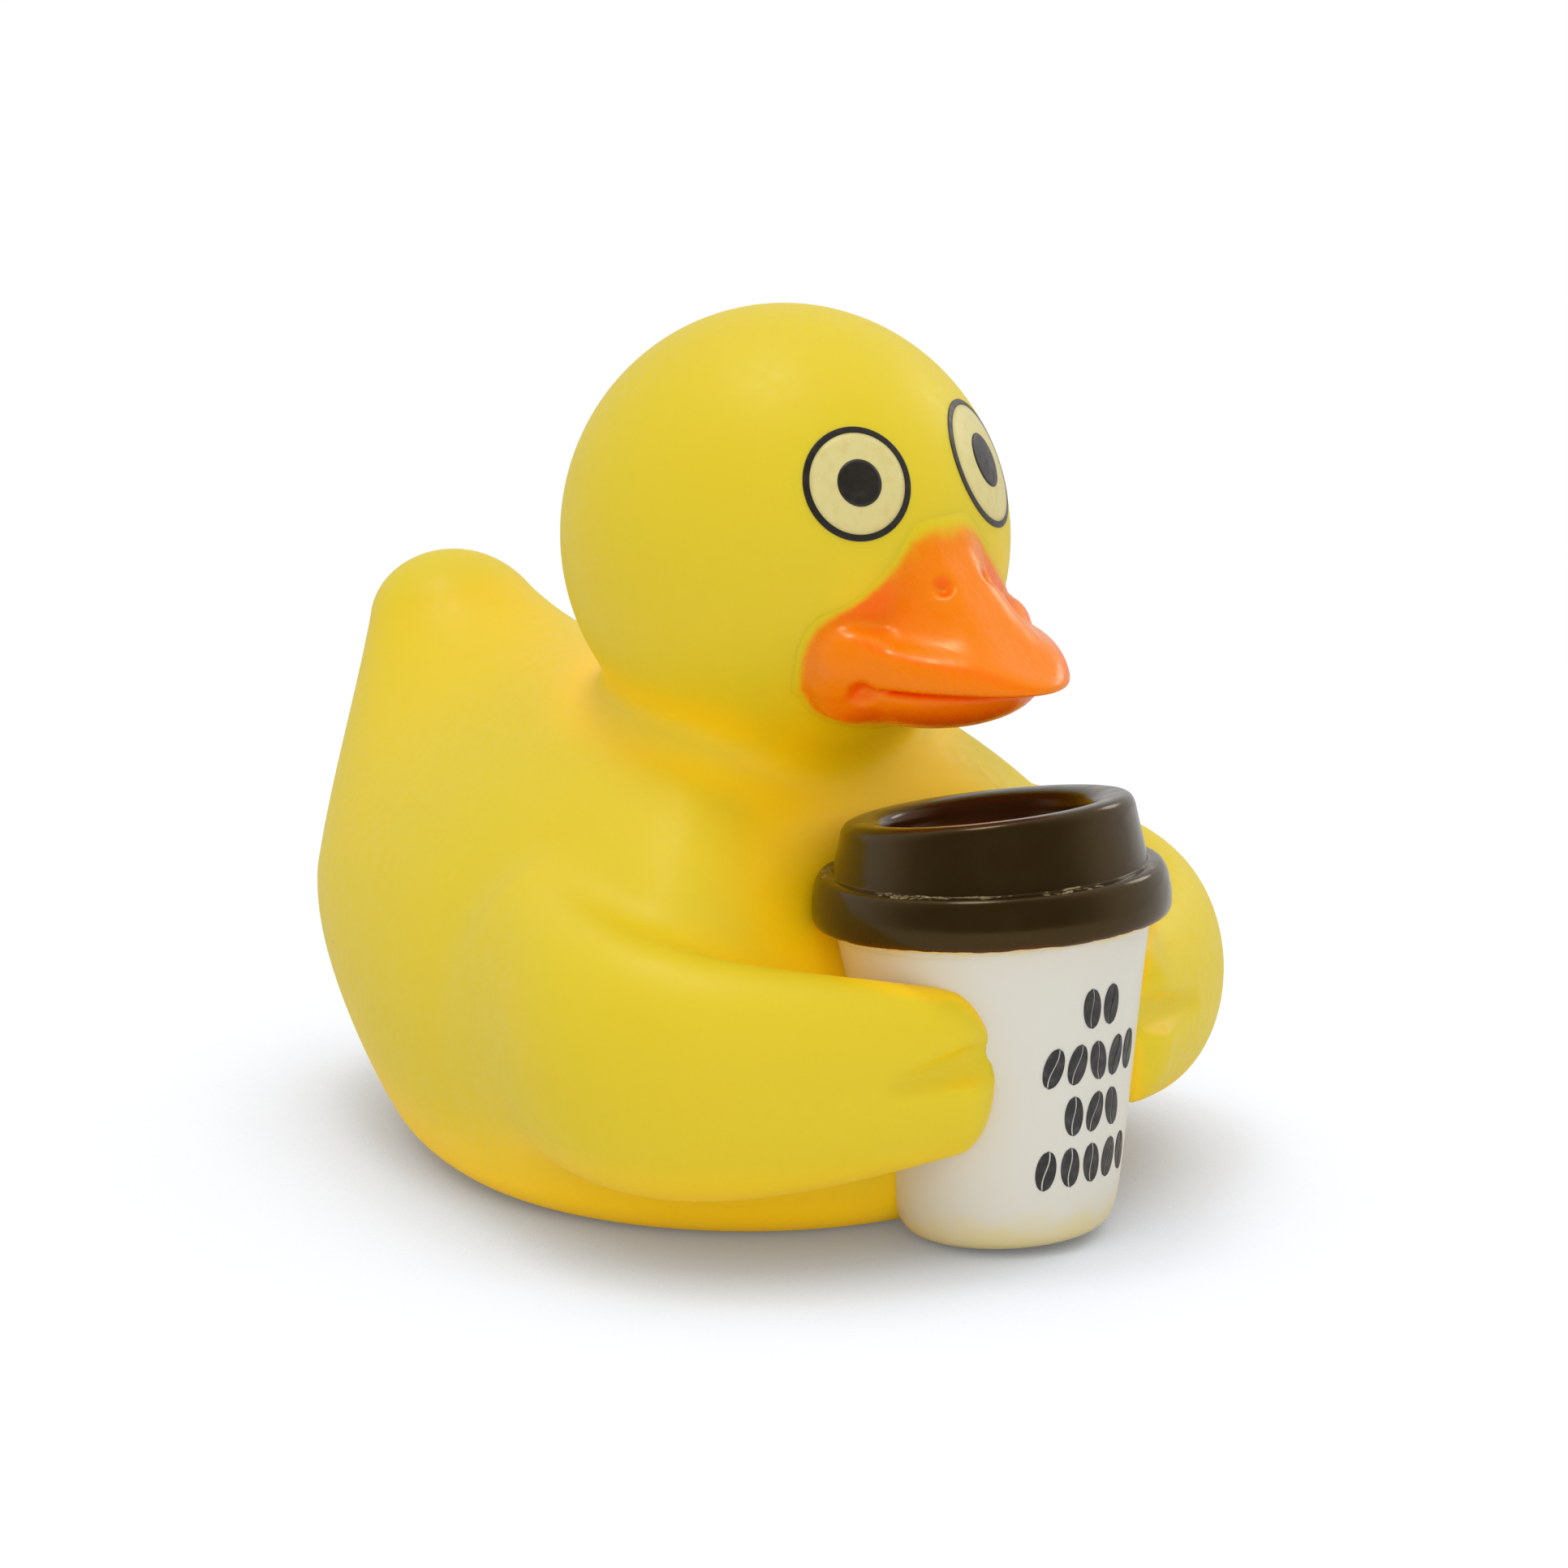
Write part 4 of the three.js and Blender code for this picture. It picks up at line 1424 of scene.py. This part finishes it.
@dataclass
class CupLid(RevolvedPiece):
    """Lid with a rounded flange, a slanted ring and a shallow recess."""

    name: str = "cup_lid"
    slot: Slot = Slot.LID
    finish: CupFinish | LidFinish = field(default_factory=LidFinish)
    profile: tuple[Pair, ...] = (
        (0, 29.4), (13.6, 29.4), (14.6, 30.1), (15.6, 30.25), (16.4, 30.3), (16.85, 30.7), (16.95, 32.0),
        (16.8, 33.2), (16.55, 34.3), (16.1, 35.1), (15.4, 35.25), (14.85, 35.2), (14.75, 35.5),
        (14.6, 36.3), (14.0, 39.0), (13.8, 40.1), (13.2, 40.75), (12.0, 40.8), (10.9, 40.65),
        (10.1, 40.2), (9.8, 39.4), (9.7, 38.4), (9.4, 37.6), (8.0, 37.5), (0, 37.5),
    )
    slant: float = math.radians(5.5)
    slant_from: float = 35.3
    slant_over: float = 5.5
    recess_radius: float = 10.0


@dataclass(frozen=True)
class PrintShape:
    """Oval or ring printed on the head, by its aim from the head's centre and its half sizes."""

    side: Side
    yaw: float
    pitch: float
    half_width: float
    half_height: float
    lift: float
    ring_width: float = 0.0
    inset: float = 0.0


@dataclass
class InkPiece:
    """One ink's share of the eyes, in thin lenses and rings that follow the head."""

    forms: DuckForms
    name: str
    slot: Slot
    finish: PrintFinish
    shapes: tuple[PrintShape, ...]
    segments: int = 96
    rows: int = 8
    depth: float = 0.35

    def lens(self, shape: PrintShape) -> Surface:
        """Make a thin closed lens or ring on the head.

        Args:
            shape: What is printed.

        Returns:
            Its surface.
        """
        yaw, pitch = math.radians(shape.yaw) * shape.side.value, math.radians(shape.pitch)
        aim = np.array([math.sin(yaw) * math.cos(pitch), -math.cos(yaw) * math.cos(pitch), math.sin(pitch)])
        radii, centre = np.array(self.forms.head_radii), np.array(self.forms.head_centre)
        normal = aim / radii / np.linalg.norm(aim / radii)
        across = np.cross(np.array([0, 0, 1.0]), normal)
        across /= np.linalg.norm(across)
        up = np.cross(normal, across)
        half = np.array([shape.half_width, shape.half_height]) - shape.inset
        hole = half - shape.ring_width if shape.ring_width else half * 0
        turns = np.linspace(0, math.tau, self.segments, endpoint=False)
        ring = np.stack([np.cos(turns), np.sin(turns)], 1)
        shares = np.linspace(0, 1, self.rows)
        loops = [(t, shape.lift) for t in shares] + [(t, shape.lift - self.depth) for t in shares[::-1]]
        vertices = []
        for t, height in loops:
            flat = ring * (hole + (half - hole) * t)
            ray = aim * radii + flat[:, :1] * across + flat[:, 1:] * up
            on_head = ray / np.sqrt(((ray / radii) ** 2).sum(1, keepdims=True))
            out = on_head / radii**2
            out /= np.linalg.norm(out, axis=1, keepdims=True)
            vertices.append(centre + on_head + out * height)
        return Surface(np.concatenate(vertices), self.quads(len(loops)))

    def quads(self, loops: int) -> Array:
        """Join the loops with faces, the last one to the first.

        Args:
            loops: How many loops there are.

        Returns:
            The faces.
        """
        i, j = np.meshgrid(np.arange(loops), np.arange(self.segments), indexing="ij")
        k, m = (i + 1) % loops, (j + 1) % self.segments
        corners = [row * self.segments + column for row, column in ((i, j), (k, j), (k, m), (i, m))]
        return np.stack(corners, 2).reshape(-1, 4)

    def build(self) -> None:
        """Make and dress the ink on both eyes."""
        vertices, faces, total = [], [], 0
        for shape in self.shapes:
            surface = self.lens(shape)
            vertices.append(surface.vertices)
            faces.append(surface.faces + total)
            total += len(surface.vertices)
        piece = Workshop.skin(self.name, Surface(np.concatenate(vertices), np.concatenate(faces)))
        Workshop.weld(piece)
        Workshop.finish(piece, self.slot, self.finish.material())


@dataclass
class Eyes:
    """Both printed eyes: a black ring about a cream field, and a black pupil."""

    forms: DuckForms
    black: PrintFinish = PrintFinish("black_print", srgb(38, 33, 26), srgb(52, 46, 38))
    cream: PrintFinish = PrintFinish("cream_print", srgb(222, 208, 138), srgb(214, 198, 122))
    # Side, yaw, pitch, half width and half height of each print
    fields: tuple[tuple, ...] = ((Side.RIGHT, 24.5, 22.8, 5.4, 5.6), (Side.LEFT, 27.8, 22.5, 6.5, 6.7))
    pupils: tuple[tuple, ...] = ((Side.RIGHT, 24.3, 22.7, 2.15, 2.25), (Side.LEFT, 27.1, 22.8, 2.5, 2.7))
    ring_width: float = 0.66
    inset: float = 0.6
    ring_lift: float = 0.07
    pupil_lift: float = 0.09
    cream_lift: float = 0.045

    def build(self) -> None:
        """Make the black piece and the cream piece."""
        dark = []
        for eye, pupil in zip(self.fields, self.pupils):
            dark.append(PrintShape(*eye, ring_width=self.ring_width, lift=self.ring_lift))
            dark.append(PrintShape(*pupil, lift=self.pupil_lift))
        pale = tuple(PrintShape(*eye, inset=self.inset, lift=self.cream_lift) for eye in self.fields)
        InkPiece(self.forms, "eye_black", Slot.BLACK, self.black, tuple(dark)).build()
        InkPiece(self.forms, "eye_cream", Slot.CREAM, self.cream, pale).build()


class BeanTree(ShapeTree):
    """Stands a bean on each point of a flat layout and wraps them round the cup."""

    def __init__(self) -> None:
        """Build the tree."""
        inputs = {"Bean": "Object", "Seed": "Int", "Finish": "Material"}
        inputs.update(dict.fromkeys(("Foot Radius", "Flare", "Lean", "Foot", "Tilt"), "Float"))
        super().__init__("beans_round_cup", inputs)
        given = self.given
        bean = self.node("GeometryNodeObjectInfo", {"Object": given["Bean"]}).outputs["Geometry"]
        points = self.node("GeometryNodeMeshToPoints", {"Mesh": given["Geometry"]}).outputs[0]
        sources = {"Seed": given["Seed"], 2: self.times(given["Tilt"], -1.0), 3: given["Tilt"]}
        turn = self.node("FunctionNodeRandomValue", sources, data_type="FLOAT").outputs[1]
        rotation = self.node("ShaderNodeCombineXYZ", (0.0, 0.0, turn)).outputs[0]
        sources = {"Points": points, "Instance": bean, "Rotation": rotation}
        stood = self.node("GeometryNodeInstanceOnPoints", sources).outputs[0]
        real = self.node("GeometryNodeRealizeInstances", [stood]).outputs[0]
        around, height, off = self.split(self.node("GeometryNodeInputPosition").outputs[0])
        wall = self.plus(given["Foot Radius"], self.times(height, given["Flare"]))
        place = self.round_cup(self.plus(wall, off), self.over(around, wall), height)
        wrapped = self.node("GeometryNodeSetPosition", {"Geometry": real, "Position": place})
        self.close(wrapped.outputs[0])


@dataclass
class BeanPrint:
    """Four centred rows of plain coffee beans on the front of the cup."""

    forms: DuckForms
    finish: PrintFinish = PrintFinish("cup_print", srgb(36, 35, 36), srgb(70, 68, 66))
    rows: tuple[tuple[float, int], ...] = ((23.4, 2), (18.2, 5), (13.2, 3), (8.2, 5))
    pitch: float = 2.55
    half_width: float = 1.02
    half_height: float = 1.95
    slit: float = 0.16
    slit_wave: float = 0.22
    slit_waves: float = 2.6
    thinnest: float = 0.02
    lift: float = 0.04
    sunk: float = 0.2
    points: int = 22
    tilt: float = 0.22
    seed: int = 7

    def outlines(self, side: Side) -> tuple[list[Pair], list[Pair]]:
        """Outer and inner outline of half a bean.

        Args:
            side: Which half.

        Returns:
            Places along the two outlines, from foot to top.
        """
        outer, inner = [], []
        for v in np.linspace(-1, 1, self.points):
            edge = side.value * self.half_width * math.sqrt(max(1 - v * v, 0))
            split = self.slit_wave * math.sin(v * self.slit_waves) + side.value * self.slit / 2
            if (edge - split) * side.value <= self.thinnest:
                split = edge - self.thinnest * side.value
            outer.append((edge, v * self.half_height))
            inner.append((split, v * self.half_height))
        return outer, inner

    def bean(self) -> bpy.types.Object:
        """Make one bean in two halves, parted by a wavy slit, lying flat.

        Returns:
            The bean.
        """
        vertices: list[Triple] = []
        faces: list[list[int]] = []
        n = self.points
        for side in Side:
            start = len(vertices)
            outer, inner = self.outlines(side)
            for depth in (self.lift, -self.sunk):
                vertices += [(x, y, depth) for x, y in outer + inner]
            quads = [[0, n, 3 * n, 2 * n], [n - 1, 3 * n - 1, 4 * n - 1, 2 * n - 1]]
            for i in range(n - 1):
                quads += [
                    [i, i + 1, n + i + 1, n + i],
                    [3 * n + i, 3 * n + i + 1, 2 * n + i + 1, 2 * n + i],
                    [2 * n + i, 2 * n + i + 1, i + 1, i],
                    [n + i, n + i + 1, 3 * n + i + 1, 3 * n + i],
                ]
            for quad in quads:
                quad = [start + v for v in quad]
                faces.append(quad if side is Side.LEFT else quad[::-1])
        return Workshop.mesh("bean", [tuple(c * MILLIMETRE for c in v) for v in vertices], (), faces)

    def build(self) -> None:
        """Make and dress the print."""
        places = [
            ((i - (count - 1) / 2) * self.pitch * MILLIMETRE, height * MILLIMETRE, 0)
            for height, count in self.rows
            for i in range(count)
        ]
        piece, bean, material = Workshop.mesh("bean_print", places), self.bean(), self.finish.material()
        BeanTree().apply(
            piece,
            {
                "Bean": bean,
                "Foot Radius": self.forms.cup_radius(0) * MILLIMETRE,
                "Flare": self.forms.cup_flare,
                "Lean": self.forms.cup_lean,
                "Foot": (self.forms.cup_foot_y + float(CENTRING[1])) * MILLIMETRE,
                "Tilt": self.tilt,
                "Seed": self.seed,
                "Finish": material,
            },
        )
        bpy.data.objects.remove(bean)
        Workshop.finish(piece, Slot.BLACK, material)


@dataclass(frozen=True)
class Lamp:
    """A soft round lamp that looks at the duck: its place and width in metres and its power in watts."""

    name: str
    place: Triple
    width: float
    power: float
    mirrored: bool = True
    aim: Triple = (0, 0, 0.04)

    def build(self) -> None:
        """Hang the lamp."""
        data = bpy.data.lights.new(self.name, "AREA")
        data.shape, data.size, data.energy = "DISK", self.width, self.power
        lamp = Workshop.add(self.name, data)
        lamp.visible_glossy = self.mirrored
        lamp.location = self.place
        lamp.rotation_euler = (Vector(self.aim) - Vector(self.place)).to_track_quat("-Z", "Y").to_euler()


@dataclass
class Studio:
    """Pale floor, soft lamps and the camera at the photograph's angle."""

    azimuth: float = math.radians(-43.4)
    elevation: float = math.radians(13.7)
    lens: float = 119.3
    sensor: float = 36.0
    clip: Pair = (0.01, 20.0)
    camera_place: Triple = (-337.97, -363.15, 157.82)
    floor_reach: float = 6.0
    floor_seen: Colour = (1.1, 1.2, 1.4, 1.0)
    floor_bounce: Colour = (0.8, 0.8, 0.8, 1.0)
    floor_fade: Pair = (0.1, 0.3)
    # Reach, levels, share and samples of the painted contact shadow, drawn from ambient occlusion
    contact_reach: float = 0.075
    contact_depth: Quad = (0.05, 0.9, 0.14, 1.0)
    painted_shadow_share: float = 0.75
    contact_samples: int = 4
    ambient: float = 0.76
    reflected: Quad = (-0.05, 0.75, 0.8, 0.06)
    lamps: tuple[Lamp, ...] = (
        Lamp("key", (-0.1, 0.1, 1.05), 0.28, 2.2),
        Lamp("edge", (0.85, -0.05, 0.5), 0.3, 0.9),
        Lamp("front", (-0.5, -0.75, 0.3), 0.8, 1.7, mirrored=False),
    )

    def back(self) -> Vector:
        """Direction from the duck towards the camera."""
        a, e = self.azimuth, self.elevation
        return Vector((math.sin(a) * math.cos(e), -math.cos(a) * math.cos(e), math.sin(e)))

    def camera(self) -> None:
        """Set the camera where the photograph was taken from."""
        back = self.back()
        right = Vector((math.cos(self.azimuth), math.sin(self.azimuth), 0))
        data = bpy.data.cameras.new("camera")
        data.sensor_width, data.lens = self.sensor, self.lens
        data.clip_start, data.clip_end = self.clip
        camera = Workshop.add("camera", data)
        place = (Vector(self.camera_place) + Vector(CENTRING)) * MILLIMETRE
        turn = Matrix((right, back.cross(right), back)).transposed()
        camera.matrix_world = Matrix.Translation(place) @ turn.to_4x4()
        bpy.context.scene.camera = camera

    def floor(self) -> None:
        """Lay the pale floor, which catches the real shadow mixed with a painted contact shadow from
        ambient occlusion, and turns to plain white further out.
        """
        r = self.floor_reach
        floor = Workshop.mesh("floor", [(-r, -r, 0), (r, -r, 0), (r, r, 0), (-r, r, 0)], (), [(0, 1, 2, 3)])
        shader = Shader("floor")
        shader.tree.nodes.remove(shader.surface)
        lit = shader.node("ShaderNodeBsdfDiffuse", {"Color": self.floor_seen}).outputs[0]
        bounce = shader.node("ShaderNodeBsdfDiffuse", {"Color": self.floor_bounce}).outputs[0]
        # Painted contact shadow: the floor's emission dims by ambient occlusion near the duck, mixed with
        # its real shadow
        contact = shader.node(
            "ShaderNodeAmbientOcclusion", {"Distance": self.contact_reach}, samples=self.contact_samples
        )
        depth = shader.ramp(contact.outputs["AO"], *self.contact_depth)
        soft = shader.node("ShaderNodeEmission", {"Strength": depth}).outputs[0]
        white = shader.node("ShaderNodeEmission").outputs[0]
        away = shader.node("ShaderNodeVectorMath", [shader.where], operation="LENGTH").outputs["Value"]
        near = shader.layer(self.painted_shadow_share, lit, soft)
        seen = shader.layer(shader.ramp(away, *self.floor_fade), near, white)
        camera_ray = shader.node("ShaderNodeLightPath").outputs["Is Camera Ray"]
        both = shader.layer(camera_ray, bounce, seen)
        shader.put(both, shader.tree.nodes["Material Output"].inputs["Surface"])
        floor.data.materials.append(shader.material)
        floor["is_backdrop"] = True

    def world(self) -> None:
        """Set white surroundings, soft to light with, and dim to reflect on the camera's side."""
        world = bpy.data.worlds.new("studio")
        bpy.context.scene.world = world
        world.use_nodes = True
        board = NodeBoard(world.node_tree)
        path = board.node("ShaderNodeLightPath").outputs
        way = board.node("ShaderNodeTexCoord").outputs["Generated"]
        toward = board.node("ShaderNodeVectorMath", (way, self.back()), operation="DOT_PRODUCT")
        dim = board.ramp(toward.outputs["Value"], *self.reflected)
        sources = {"Factor": path["Is Glossy Ray"], "A": self.ambient, "B": dim}
        level = board.node("ShaderNodeMix", sources).outputs["Result"]
        background = board.tree.nodes["Background"]
        background.inputs["Color"].default_value = (1, 1, 1, 1)
        board.put(board.math("MAXIMUM", path["Is Camera Ray"], level), background.inputs["Strength"])

    def build(self) -> None:
        """Set up the whole studio."""
        self.camera()
        self.floor()
        self.world()
        for lamp in self.lamps:
            lamp.build()
        bpy.context.scene.view_settings.view_transform = "Standard"


def main() -> None:
    """Build the duck's pieces in order."""
    logging.basicConfig(level=logging.INFO, format="%(name)s %(message)s")
    forms, vinyl = DuckForms(), VinylFinish()
    Studio().build()
    VinylBody(forms, vinyl).build()
    Bill(forms, BillFinish(), vinyl).build()
    tree = RevolveTree()
    CupWall(forms).build(tree)
    CupLid(forms).build(tree)
    Eyes(forms).build()
    BeanPrint(forms).build()
    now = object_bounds()
    for name, box in (("cad", CAD_BOX), ("visual", now)):
        LOG.info("%s %s", name, [tuple(round(v, 5) for v in corner) for corner in box])


if __name__ == "__main__":
    main()
